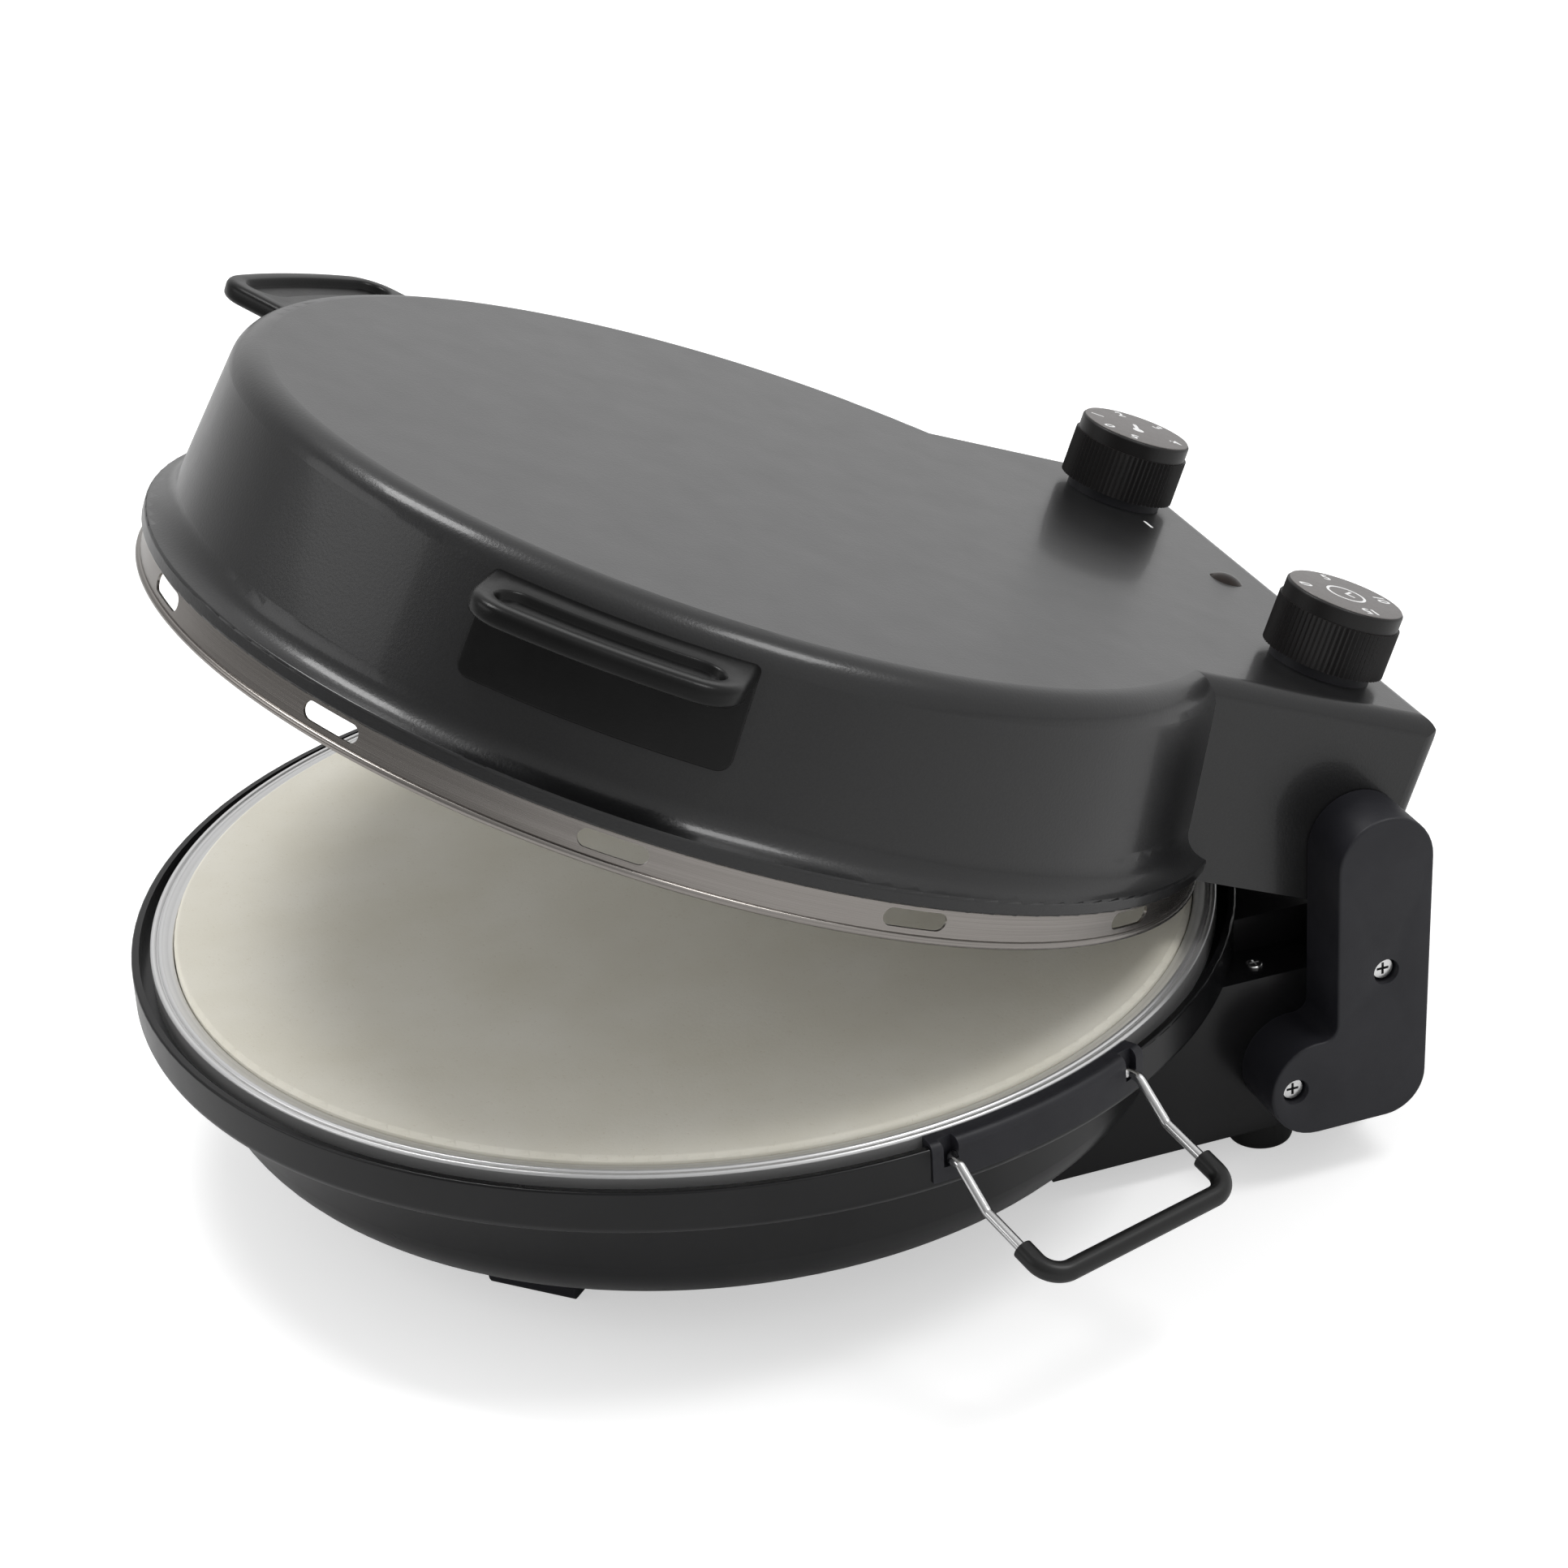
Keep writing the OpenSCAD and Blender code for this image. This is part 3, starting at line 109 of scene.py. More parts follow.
class Shader:
    """A material's node tree, with short calls for the nodes that the finishes use."""

    def __init__(self, name):
        self.material = bpy.data.materials.new(name)
        self.material.use_nodes = True
        self.tree = self.material.node_tree
        self.principled = self.tree.nodes["Principled BSDF"]
        self.place = self.add("ShaderNodeTexCoord").outputs["Object"]

    def add(self, kind, **settings):
        node = self.tree.nodes.new(kind)
        for key, value in settings.items():
            setattr(node, key, value)
        return node

    def link(self, source, target):
        self.tree.links.new(source, target)

    def set(self, **values):
        """Sets sockets of the Principled shader, with underscores for blanks."""
        for key, value in values.items():
            self.principled.inputs[key.replace("_", " ")].default_value = value

    def stretched(self, scale, turn, centre):
        """Object coordinates turned about a centre, then scaled along each axis."""
        moved = self.add("ShaderNodeMapping", vector_type="POINT")
        moved.inputs["Location"].default_value = [-c for c in centre]
        self.link(self.place, moved.inputs["Vector"])
        turned = self.add("ShaderNodeMapping", vector_type="POINT")
        turned.inputs["Rotation"].default_value = turn
        self.link(moved.outputs["Vector"], turned.inputs["Vector"])
        scaled = self.add("ShaderNodeVectorMath", operation="MULTIPLY")
        scaled.inputs[1].default_value = scale
        self.link(turned.outputs["Vector"], scaled.inputs[0])
        return scaled.outputs["Vector"]

    def noise(self, scale, detail=3.0, roughness=0.55, vector=None):
        node = self.add("ShaderNodeTexNoise")
        node.inputs["Scale"].default_value = scale
        node.inputs["Detail"].default_value = detail
        node.inputs["Roughness"].default_value = roughness
        self.link(vector or self.place, node.inputs["Vector"])
        return node.outputs["Fac"]

    def flakes(self, scale):
        node = self.add("ShaderNodeTexVoronoi", feature="F1")
        node.inputs["Scale"].default_value = scale
        self.link(self.place, node.inputs["Vector"])
        return node.outputs["Color"]

    def ramp(self, value, stops):
        """A colour ramp from (place, grey or colour) pairs."""
        node = self.add("ShaderNodeValToRGB")
        while len(node.color_ramp.elements) < len(stops):
            node.color_ramp.elements.new(0.5)
        for element, (place, colour) in zip(node.color_ramp.elements, stops):
            element.position = place
            grey = isinstance(colour, (int, float))
            element.color = (colour, colour, colour, 1) if grey else (*colour, 1)
        self.link(value, node.inputs["Fac"])
        return node.outputs["Color"]

    def spread(self, value, low, high):
        """A value from 0 to 1 mapped to low to high."""
        node = self.add("ShaderNodeMapRange")
        node.inputs["To Min"].default_value = low
        node.inputs["To Max"].default_value = high
        self.link(value, node.inputs["Value"])
        return node.outputs["Result"]

    def math(self, operation, first, second=None):
        node = self.add("ShaderNodeMath", operation=operation)
        for k, value in enumerate(v for v in (first, second) if v is not None):
            if isinstance(value, (int, float)):
                node.inputs[k].default_value = value
            else:
                self.link(value, node.inputs[k])
        return node.outputs["Value"]

    def bump(self, height, distance, strength):
        node = self.add("ShaderNodeBump")
        node.inputs["Strength"].default_value = strength
        node.inputs["Distance"].default_value = distance
        self.link(height, node.inputs["Height"])
        self.to(node.outputs["Normal"], "Normal")

    def edge_mask(self, radius):
        """1 where the surface turns sharply within a radius, 0 on open faces."""
        bevel = self.add("ShaderNodeBevel", samples=4)
        bevel.inputs["Radius"].default_value = radius
        geometry = self.add("ShaderNodeNewGeometry")
        dot = self.add("ShaderNodeVectorMath", operation="DOT_PRODUCT")
        self.link(bevel.outputs["Normal"], dot.inputs[0])
        self.link(geometry.outputs["Normal"], dot.inputs[1])
        return self.math("SUBTRACT", 1.0, dot.outputs["Value"])

    def to(self, value, socket):
        self.link(value, self.principled.inputs[socket])

    def colour(self, value, low, high, ends=(0.3, 0.7)):
        """Base colour from one tone to another, over the middle of a texture's range."""
        self.to(self.ramp(value, [(ends[0], low), (ends[1], high)]), "Base Color")

    def rough(self, value, low, high):
        self.to(self.spread(value, low, high), "Roughness")


# ---------------------------------------------------------------- materials

def lid_paint():
    """Charcoal lacquer: satin, with an orange-peel skin and fine flakes."""
    s = Shader("lid_paint")
    flakes = s.flakes(2600)
    cloud = s.noise(9, detail=2)
    tone = s.math("ADD", s.math("MULTIPLY", flakes, 0.35), s.math("MULTIPLY", cloud, 0.65))
    s.colour(tone, (0.008, 0.008, 0.0085), (0.014, 0.014, 0.0145), ends=(0.2, 0.8))
    s.rough(s.noise(60), 0.27, 0.35)
    s.set(Specular_IOR_Level=0.38, Coat_Weight=0.22, Coat_Roughness=0.10)
    s.bump(s.noise(1100, detail=2), 0.07 * MM, 0.7)
    return s.material


def shell_black():
    """Black lacquered bowl: gloss on the skirt, faint streaks and dust in the sheen."""
    s = Shader("shell_black")
    s.colour(s.noise(40), (0.004, 0.004, 0.0045), (0.007, 0.007, 0.0075))
    s.rough(s.noise(120), 0.20, 0.30)
    s.set(Specular_IOR_Level=0.3)
    s.bump(s.noise(900, detail=2), 0.02 * MM, 0.4)
    return s.material


# Width and tone of the painted highlight along the edges of moulded parts.
EDGE_HIGHLIGHT_WIDTH = 0.6 * MM
EDGE_HIGHLIGHT_TONE = 1.7                     # how much paler the painted highlight along an edge is


def moulding(name, low, high, grain=1400, rough=(0.42, 0.55), gloss=0.36):
    """Fine-grained moulded plastic, with a painted highlight: a lighter tone along its edges."""
    s = Shader(name)
    base = s.ramp(s.noise(70), [(0.3, low), (0.7, high)])
    # painted highlight: colour turned paler near edges, in place of the light that rounded edges
    # catch
    edge = s.ramp(s.edge_mask(EDGE_HIGHLIGHT_WIDTH), [(0.02, 0.0), (0.25, 1.0)])
    mix = s.add("ShaderNodeMix", data_type="RGBA")
    mix.inputs["B"].default_value = (*[EDGE_HIGHLIGHT_TONE * c for c in high], 1)
    s.link(edge, mix.inputs["Factor"])
    s.link(base, mix.inputs["A"])
    s.to(mix.outputs["Result"], "Base Color")
    s.rough(s.noise(200), *rough)
    s.set(Specular_IOR_Level=gloss)
    s.bump(s.noise(grain, detail=2), 0.04 * MM, 0.6)
    return s.material


def brushed_steel(name, turn, centre, low=(0.20, 0.186, 0.172), high=(0.34, 0.318, 0.30)):
    """Stainless sheet with brush lines round a ring's own axis."""
    s = Shader(name)
    lines = s.noise(1.0, detail=5, roughness=0.7, vector=s.stretched((6, 6, 5200), turn, centre))
    broad = s.noise(14, detail=2)
    s.colour(lines, low, high)
    both = s.math("ADD", s.math("MULTIPLY", lines, 0.7), s.math("MULTIPLY", broad, 0.3))
    s.rough(both, 0.20, 0.32)
    s.set(Metallic=1.0, Anisotropic=0.5)
    s.bump(lines, 0.012 * MM, 0.5)
    return s.material


BANDS_PER_METRE = 700.0             # how fine the turned bands are


def turned_steel(name, tone=(0.62, 0.78), rough=(0.24, 0.36)):
    """Stainless sheet spun on a lathe: soft bands at even radii from the middle."""
    s = Shader(name)
    parts = s.add("ShaderNodeSeparateXYZ")
    s.link(s.place, parts.inputs["Vector"])
    square = s.math("ADD", s.math("MULTIPLY", parts.outputs["X"], parts.outputs["X"]),
                    s.math("MULTIPLY", parts.outputs["Y"], parts.outputs["Y"]))
    joined = s.add("ShaderNodeCombineXYZ")
    s.link(s.math("MULTIPLY", s.math("SQRT", square), BANDS_PER_METRE), joined.inputs["X"])
    s.link(s.math("MULTIPLY", parts.outputs["Z"], 200.0), joined.inputs["Z"])
    lines = s.noise(1.0, detail=2, vector=joined.outputs["Vector"])
    s.colour(lines, *tone)
    s.rough(s.noise(40), *rough)
    s.set(Metallic=0.75)
    return s.material


def bright_wire(name, tone=(0.62, 0.74), rough=(0.14, 0.26)):
    """Drawn or plated steel: faint draw marks and a few dull spots."""
    s = Shader(name)
    marks = s.noise(420, detail=4)
    s.colour(marks, *tone)
    s.rough(s.noise(90), *rough)
    s.set(Metallic=1.0)
    s.bump(marks, 0.01 * MM, 0.4)
    return s.material


def liner_metal():
    """Aluminised sheet: pale, with the mottle of its coating."""
    s = Shader("liner_metal")
    mottle = s.noise(260, detail=4)
    s.colour(mottle, 0.48, 0.62)
    s.rough(mottle, 0.34, 0.5)
    s.set(Metallic=1.0)
    s.bump(mottle, 0.04 * MM, 0.4)
    return s.material


def element_sheath():
    """Oxidised heater sheath: brown-grey, heat-tinted in bands."""
    s = Shader("element_sheath")
    tint = s.noise(22, detail=4)
    s.to(s.ramp(tint, [(0.3, (0.09, 0.085, 0.08)), (0.55, (0.14, 0.12, 0.10)),
                       (0.75, (0.17, 0.15, 0.145))]), "Base Color")
    s.rough(s.noise(180), 0.42, 0.62)
    s.set(Metallic=0.8)
    s.bump(s.noise(900), 0.03 * MM, 0.5)
    return s.material


def stone():
    """Unglazed cordierite: cream, fine grained, with pale and sandy specks."""
    s = Shader("stone")
    grain = s.noise(900, detail=5, roughness=0.7)
    patches = s.noise(26, detail=3)
    base = s.ramp(patches, [(0.3, (0.74, 0.71, 0.61)), (0.7, (0.80, 0.775, 0.69))])
    specks = s.ramp(grain, [(0.30, 1.0), (0.40, 0.0)])
    mix = s.add("ShaderNodeMix", data_type="RGBA")
    mix.inputs["B"].default_value = (0.60, 0.54, 0.42, 1)
    s.link(s.math("MULTIPLY", specks, 0.5), mix.inputs["Factor"])
    s.link(base, mix.inputs["A"])
    s.to(mix.outputs["Result"], "Base Color")
    s.rough(grain, 0.72, 0.9)
    s.set(Specular_IOR_Level=0.35)
    s.bump(grain, 0.12 * MM, 0.6)
    return s.material


def ceramic(name, tone):
    """Pale fired or moulded insulating part."""
    s = Shader(name)
    mottle = s.noise(300, detail=4)
    low = tuple(0.9 * c for c in tone)
    s.colour(mottle, low, tone)
    s.rough(mottle, 0.4, 0.6)
    s.bump(mottle, 0.04 * MM, 0.4)
    return s.material


def knob_face():
    """Grey anodised dial plate with a fine grain; part of its grey is a painted reflection of the
    bright room in its smooth face.
    """
    s = Shader("knob_face")
    fine = s.noise(1600, detail=3)
    # part of this grey tone is painted reflection of the bright room
    s.colour(fine, (0.150, 0.140, 0.136), (0.185, 0.174, 0.170))
    s.rough(s.noise(400), 0.36, 0.48)
    s.set(Metallic=0.35)
    s.bump(fine, 0.01 * MM, 0.3)
    return s.material


def lens_amber():
    """Dark tinted lens of the indicator lamp."""
    s = Shader("lens_amber")
    s.colour(s.noise(500), (0.008, 0.005, 0.004), (0.014, 0.008, 0.006))
    s.rough(s.noise(300), 0.16, 0.24)
    s.set(Specular_IOR_Level=0.2)
    return s.material


def dial_print():
    """White printing ink on the dials and the panel."""
    s = Shader("dial_print")
    s.colour(s.noise(2200), 0.74, 0.84)
    s.rough(s.noise(900), 0.45, 0.6)
    s.bump(s.noise(2600), 0.01 * MM, 0.3)
    return s.material


RING_TURN = (LID_OPEN, 0.0, 0.0)    # lays the brush lines round the tilted band
MATERIALS = {
    "lid_paint": lid_paint(),
    "shell_black": shell_black(),
    "moulding_dark": moulding("moulding_dark", (0.011, 0.011, 0.0145), (0.015, 0.015, 0.019)),
    "ring_steel": brushed_steel("ring_steel", RING_TURN, HINGE),
    "rim_steel": turned_steel("rim_steel"),
    "wire_steel": bright_wire("wire_steel"),
    "screw_steel": bright_wire("screw_steel", tone=(0.66, 0.80), rough=(0.16, 0.3)),
    "liner_metal": liner_metal(),
    "element_sheath": element_sheath(),
    "stone": stone(),
    "white_ceramic": ceramic("white_ceramic", (0.72, 0.70, 0.64)),
    "white_plastic": ceramic("white_plastic", (0.68, 0.68, 0.66)),
    "rubber_black": moulding("rubber_black", (0.006, 0.006, 0.006), (0.010, 0.010, 0.010),
                             grain=900, rough=(0.30, 0.42)),
    "knob_black": moulding("knob_black", (0.003, 0.0025, 0.0025), (0.005, 0.004, 0.004),
                           grain=1800, rough=(0.36, 0.48)),
    "knob_face": knob_face(),
    "lens_amber": lens_amber(),
}
DIAL_PRINT = dial_print()
GRIP_PLASTIC = moulding("grip_plastic", (0.002, 0.002, 0.002), (0.004, 0.004, 0.004),
                        grain=1300, rough=(0.24, 0.36), gloss=0.22)

SLOTS = {part["node"]: part["material_slot"] for part in frame["record"]["subparts"]}


def dress_nodes():
    """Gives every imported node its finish."""
    for name, node in NODES.items():
        node.data.materials.clear()
        node.data.materials.append(MATERIALS[SLOTS[name]])


# ---------------------------------------------------------------- mesh helpers

SMOOTH_ANGLE = math.radians(32)
WELD = 0.001 * MM                   # vertices closer than this are joined


def finish_mesh(name, work, body, slot, material=None, place=Matrix.Identity(4)):
    """Turns a bmesh into a piece that rides on a body, with clean normals and soft shading."""
    bmesh.ops.remove_doubles(work, verts=work.verts, dist=WELD)
    bmesh.ops.recalc_face_normals(work, faces=work.faces)
    mesh = bpy.data.meshes.new(name)
    work.to_mesh(mesh)
    work.free()
    mesh.transform(place)
    if place.determinant() < 0:
        mesh.flip_normals()
    for face in mesh.polygons:
        face.use_smooth = True
    mesh.set_sharp_from_angle(angle=SMOOTH_ANGLE)
    mesh.materials.append(material or MATERIALS[slot])
    piece = bpy.data.objects.new(name, mesh)
    bpy.context.scene.collection.objects.link(piece)
    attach(piece, body)
    return piece


def loft(work, rings):
    """Joins rings of as many points each with quads; returns the rings' vertices."""
    made = [[work.verts.new(point) for point in ring] for ring in rings]
    count = len(rings[0])
    for low, high in zip(made, made[1:]):
        for k in range(count):
            work.faces.new((low[k], low[(k + 1) % count], high[(k + 1) % count], high[k]))
    return made


def ring_edges(work, ring):
    """The edges that run round a closed ring of vertices."""
    edges = []
    for a, b in zip(ring, ring[1:] + ring[:1]):
        edges.append(work.edges.get((a, b)) or work.edges.new((a, b)))
    return edges


def fill(work, *rings):
    """Fills the flat area inside the first ring and outside the others."""
    edges = [edge for ring in rings for edge in ring_edges(work, ring)]
    bmesh.ops.triangle_fill(work, use_beauty=True, use_dissolve=False, edges=edges)


def arc(centre, radius, start, end, count):
    """Points of an arc in a plane, angles in degrees, both ends included."""
    return [(centre[0] + radius * math.cos(math.radians(start + (end - start) * k / count)),
             centre[1] + radius * math.sin(math.radians(start + (end - start) * k / count)))
            for k in range(count + 1)]


def circle(radius, count, centre=(0, 0)):
    """Points of a whole circle in a plane."""
    return arc(centre, radius, 0, 360 - 360 / count, count - 1)


def quarter(radius, count=4):
    """(inset, rise) steps of a round edge, from its side up to its face."""
    turns = [math.pi / 2 * k / count for k in range(count + 1)]
    return [(radius * (1 - math.cos(turn)), radius * math.sin(turn)) for turn in turns]


def mirrored(side):
    """The identity for side 1, a mirror across the middle plane for side -1."""
    return Matrix.Scale(side, 4, Vector((1, 0, 0)))


def lathe(name, profile, body, slot, count, place=Matrix.Identity(4)):
    """Closed (radius, height) profile turned about the vertical axis."""
    work = bmesh.new()
    rings = []
    for k in range(count):
        a = 2 * math.pi * k / count
        rings.append([(r * math.cos(a), r * math.sin(a), z) for r, z in profile])
    loft(work, rings + rings[:1])
    return finish_mesh(name, work, body, slot, place=place)


def place_curve(name, curve, body, material, place=Matrix.Identity(4)):
    """Puts a curve or text in the scene as a piece that rides on a body."""
    curve.materials.append(material)
    piece = bpy.data.objects.new(name, curve)
    piece.matrix_world = place
    bpy.context.scene.collection.objects.link(piece)
    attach(piece, body)
    return piece


# ---------------------------------------------------------------- carry bails

BAIL_AZ = math.radians(17.5)
BAIL_PIVOT_N = 163.9 * MM
BAIL_PIVOT_Z = RIM_Z - 6.5 * MM
BAIL_HALF = 33.2 * MM
BAIL_R = 1.5 * MM
BAIL_KNEE = 4.8 * MM
BAIL_KINK = (15.8 * MM, -10 * MM)
BAIL_TILT = math.radians(18.8)
BAIL_REACH = 27.6 * MM
BAIL_BEND = 7 * MM
BAIL_PIN_BEND = 2.4 * MM
BAIL_KNEE_BEND = 2.2 * MM
BAIL_KINK_BEND = 4 * MM
BAIL_PIN_IN = 7 * MM


def rounded_route(points, bends, steps=8):
    """A route through points, with each inner corner rounded to its own radius."""
    route = [points[0]]
    for before, corner, after, bend in zip(points, points[1:], points[2:], bends):
        u = (before - corner).normalized()
        v = (after - corner).normalized()
        half = u.angle(v) / 2
        middle = corner + (u + v).normalized() * bend / math.sin(half)
        start = (corner + u * bend / math.tan(half) - middle).normalized()
        end = (corner + v * bend / math.tan(half) - middle).normalized()
        route += [middle + bend * start.slerp(end, k / steps) for k in range(steps + 1)]
    return route + [points[-1]]


def make_bail(side, name, body, node):
    """Bent wire from its two hooked pins, over a knee and a kink, to the straight grip."""
    pivot = Vector((BAIL_PIVOT_N, 0, BAIL_PIVOT_Z))
    knee = pivot + Vector((BAIL_KNEE, 0, 0))
    kink = pivot + Vector((BAIL_KINK[0], 0, BAIL_KINK[1]))
    grip = kink + BAIL_REACH * Vector((math.cos(BAIL_TILT), 0, -math.sin(BAIL_TILT)))
    out = Vector((0, BAIL_HALF, 0))
    inner = Vector((0, BAIL_HALF - BAIL_PIN_BEND - BAIL_PIN_IN, 0))
    corners = [pivot - inner, pivot - out, knee - out, kink - out, grip - out,
               grip + out, kink + out, knee + out, pivot + out, pivot + inner]
    half_bends = [BAIL_PIN_BEND, BAIL_KNEE_BEND, BAIL_KINK_BEND, BAIL_BEND]
    bends = half_bends + half_bends[::-1]
    turn = mirrored(side) @ Matrix.Rotation(BAIL_AZ, 4, "Z")
    route = [turn @ point for point in rounded_route(corners, bends)]
    curve = bpy.data.curves.new(name, "CURVE")
    curve.dimensions = "3D"
    curve.bevel_depth = BAIL_R
    curve.bevel_resolution = 6
    curve.use_fill_caps = True
    spline = curve.splines.new("POLY")
    spline.points.add(len(route) - 1)
    for target, point in zip(spline.points, route):
        target.co = (*point, 1)
    spline.use_smooth = True
    piece = place_curve(name, curve, body, MATERIALS["wire_steel"])
    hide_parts(node)


# ---------------------------------------------------------------- hinge covers

COVER_X = 105 * MM
COVER_T = 20 * MM
COVER_TOP = (173.9 * MM, RIM_Z + 26.5 * MM)
COVER_TOP_R = 15.4 * MM
COVER_TOE = (152.5 * MM, RIM_Z - 43 * MM)
COVER_TOE_R = 15.3 * MM
COVER_HEEL_R = 13 * MM
COVER_BACK = 188 * MM
COVER_HOLLOW_R = 4.5 * MM
COVER_EDGE = 0.9 * MM
COVER_SCREWS = [(174.3 * MM, RIM_Z - 8.8 * MM), (145 * MM, RIM_Z - 42.4 * MM)]
RECESS_R = 4 * MM
RECESS_DEPTH = 4 * MM
RECESS_LIP = 0.4 * MM


def cover_outline(inset):
    """Side view of the boot-shaped cover as (y, z), drawn in by an inset."""
    toe_r = COVER_TOE_R - inset
    hollow_r = COVER_HOLLOW_R + inset
    heel_r = COVER_HEEL_R - inset
    top_r = COVER_TOP_R - inset
    front = COVER_TOP[0] - COVER_TOP_R
    hollow_y = front - COVER_HOLLOW_R
    lift = math.sqrt((COVER_TOE_R + COVER_HOLLOW_R) ** 2 - (hollow_y - COVER_TOE[0]) ** 2)
    hollow = (hollow_y, COVER_TOE[1] + lift)
    heel = (COVER_BACK - COVER_HEEL_R, COVER_TOE[1] - COVER_TOE_R + COVER_HEEL_R)
    toward = math.degrees(math.atan2(hollow[1] - COVER_TOE[1], hollow[0] - COVER_TOE[0]))
    back_dy = COVER_TOP[0] + COVER_TOP_R - COVER_BACK
    lean = -math.degrees(math.atan2(back_dy, COVER_TOP[1] - heel[1]))
    outline = arc(COVER_TOP, top_r, lean, 180, 20)
    outline += arc(hollow, hollow_r, 0, toward - 180, 8)
    outline += arc(COVER_TOE, toe_r, toward, 270, 20)
    outline += arc(heel, heel_r, 270, 360 + lean, 12)
    return outline


def make_cover(side, name, node):
    """A cover with softened outer edges and two recessed screw seats."""
    work = bmesh.new()
    outer_x = COVER_X + COVER_T
    steps = [(COVER_X, 0.0)]
    steps += [(outer_x - COVER_EDGE + rise, inset) for inset, rise in quarter(COVER_EDGE)]
    rings = [[(x, y, z) for y, z in cover_outline(inset)] for x, inset in steps]
    made = loft(work, rings)
    work.faces.new(made[0])
    seats = []
    for centre in COVER_SCREWS:
        depths = [(outer_x - down * RECESS_LIP, RECESS_R + (1 - across) * RECESS_LIP)
                  for down, across in ((0.0, 0.0), (0.3, 0.7), (1.0, 1.0))]
        depths.append((outer_x - RECESS_DEPTH, RECESS_R))
        seat = [[(x, *point) for point in circle(r, 24, centre)] for x, r in depths]
        seat_made = loft(work, seat)
        work.faces.new(seat_made[-1])
        seats.append(seat_made[0])
    fill(work, made[-1], *seats)
    piece = finish_mesh(name, work, "base", "moulding_dark", place=mirrored(side))
    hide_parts(node)


# ---------------------------------------------------------------- lid grips

GRIP_AZ = math.radians(-32.9)
GRIP_TOP_Z = RIM_Z + 63 * MM
GRIP_T = 5.8 * MM
GRIP_HALF = 37.6 * MM
GRIP_OUT_R = 184 * MM
GRIP_CORNER_R = 13 * MM
GRIP_TUCK = 0.6 * MM                # how far the grip runs into the dome's wall
HOLLOW_IN_R = 163.7 * MM
HOLLOW_OUT_R = 178.6 * MM
HOLLOW_HALF = 32.2 * MM
HOLLOW_WALL = [(0.0, 0.0), (0.24, 0.12), (0.56, 0.36), (0.8, 0.8), (1.1, 1.7), (1.4, 2.3),
               (2.0, 2.5)]          # millimetres in from the hollow's edge, and down
GRIP_LOW_EDGE = 1.5 * MM
GRIP_TOP_EDGE = 2.2 * MM
PLATE_HALF_AZ = math.radians(14)    # the back plate that the grip stands on
PLATE_LOW_Z = RIM_Z + 34 * MM
PLATE_HIGH_Z = GRIP_TOP_Z - 1.5 * MM
PLATE_T = 3 * MM
PLATE_TUCK = 0.3 * MM
PLATE_EDGE = 0.7 * MM
PLATE_CORNER_R = 4 * MM
PLATE_STEPS = 20                    # faces along its lower edge


def grip_outline(inset, z):
    """Plan of the grip at a height: along the dome, straight ends, round corners, outer arc."""
    inner_r = dome_side(z) - GRIP_TUCK
    half = GRIP_HALF - inset
    out_r = GRIP_OUT_R - inset
    corner_r = GRIP_CORNER_R - inset
    side = half - corner_r
    corner = (math.sqrt((out_r - corner_r) ** 2 - side ** 2), side)
    start = math.degrees(math.asin(half / inner_r))
    sweep = math.degrees(math.atan2(corner[1], corner[0]))
    outline = arc((0, 0), inner_r, start, -start, 16)
    outline += arc((corner[0], -corner[1]), corner_r, -90, -sweep, 8)
    outline += arc((0, 0), out_r, -sweep, sweep, 24)[1:-1]
    outline += arc(corner, corner_r, sweep, 90, 8)
    return outline


def hollow_outline(inset):
    """Plan of the long hollow on top: a bent slot with full round ends."""
    middle_r = (HOLLOW_IN_R + HOLLOW_OUT_R) / 2
    end_r = (HOLLOW_OUT_R - HOLLOW_IN_R) / 2 - inset
    sweep = math.degrees(math.asin((HOLLOW_HALF - (HOLLOW_OUT_R - HOLLOW_IN_R) / 2) / middle_r))
    ends = [(middle_r * math.cos(math.radians(a)), middle_r * math.sin(math.radians(a)))
            for a in (sweep, -sweep)]
    outline = arc((0, 0), middle_r + end_r, -sweep, sweep, 24)
    outline += arc(ends[0], end_r, sweep, sweep + 180, 12)[1:-1]
    outline += arc((0, 0), middle_r - end_r, sweep, -sweep, 24)
    outline += arc(ends[1], end_r, 180 - sweep, 360 - sweep, 12)[1:-1]
    return outline


def plate_ring(inset, lift):
    """Edge of the back plate: its lower row, then its upper row backwards."""
    half = PLATE_HALF_AZ * dome_side(PLATE_LOW_Z) - inset
    low = PLATE_LOW_Z + inset
    r = PLATE_CORNER_R - inset
    row = arc((-half + r, low + r), r, 180, 270, 6)
    row += [(-half + r + k * 2 * (half - r) / PLATE_STEPS, low) for k in range(1, PLATE_STEPS)]
    row += arc((half - r, low + r), r, 270, 360, 6)
    upper = [(along, PLATE_HIGH_Z) for along, z in reversed(row)]
    return [on_dome(along, z, lift) for along, z in row + upper]


def on_dome(along, z, lift):
    """A place on the dome's cone from its distance along, height and distance off."""
    angle = along / dome_side(PLATE_LOW_Z)
    radius = dome_side(z) + lift / math.cos(DOME_DRAFT)
    return (radius * math.cos(angle), radius * math.sin(angle), z)


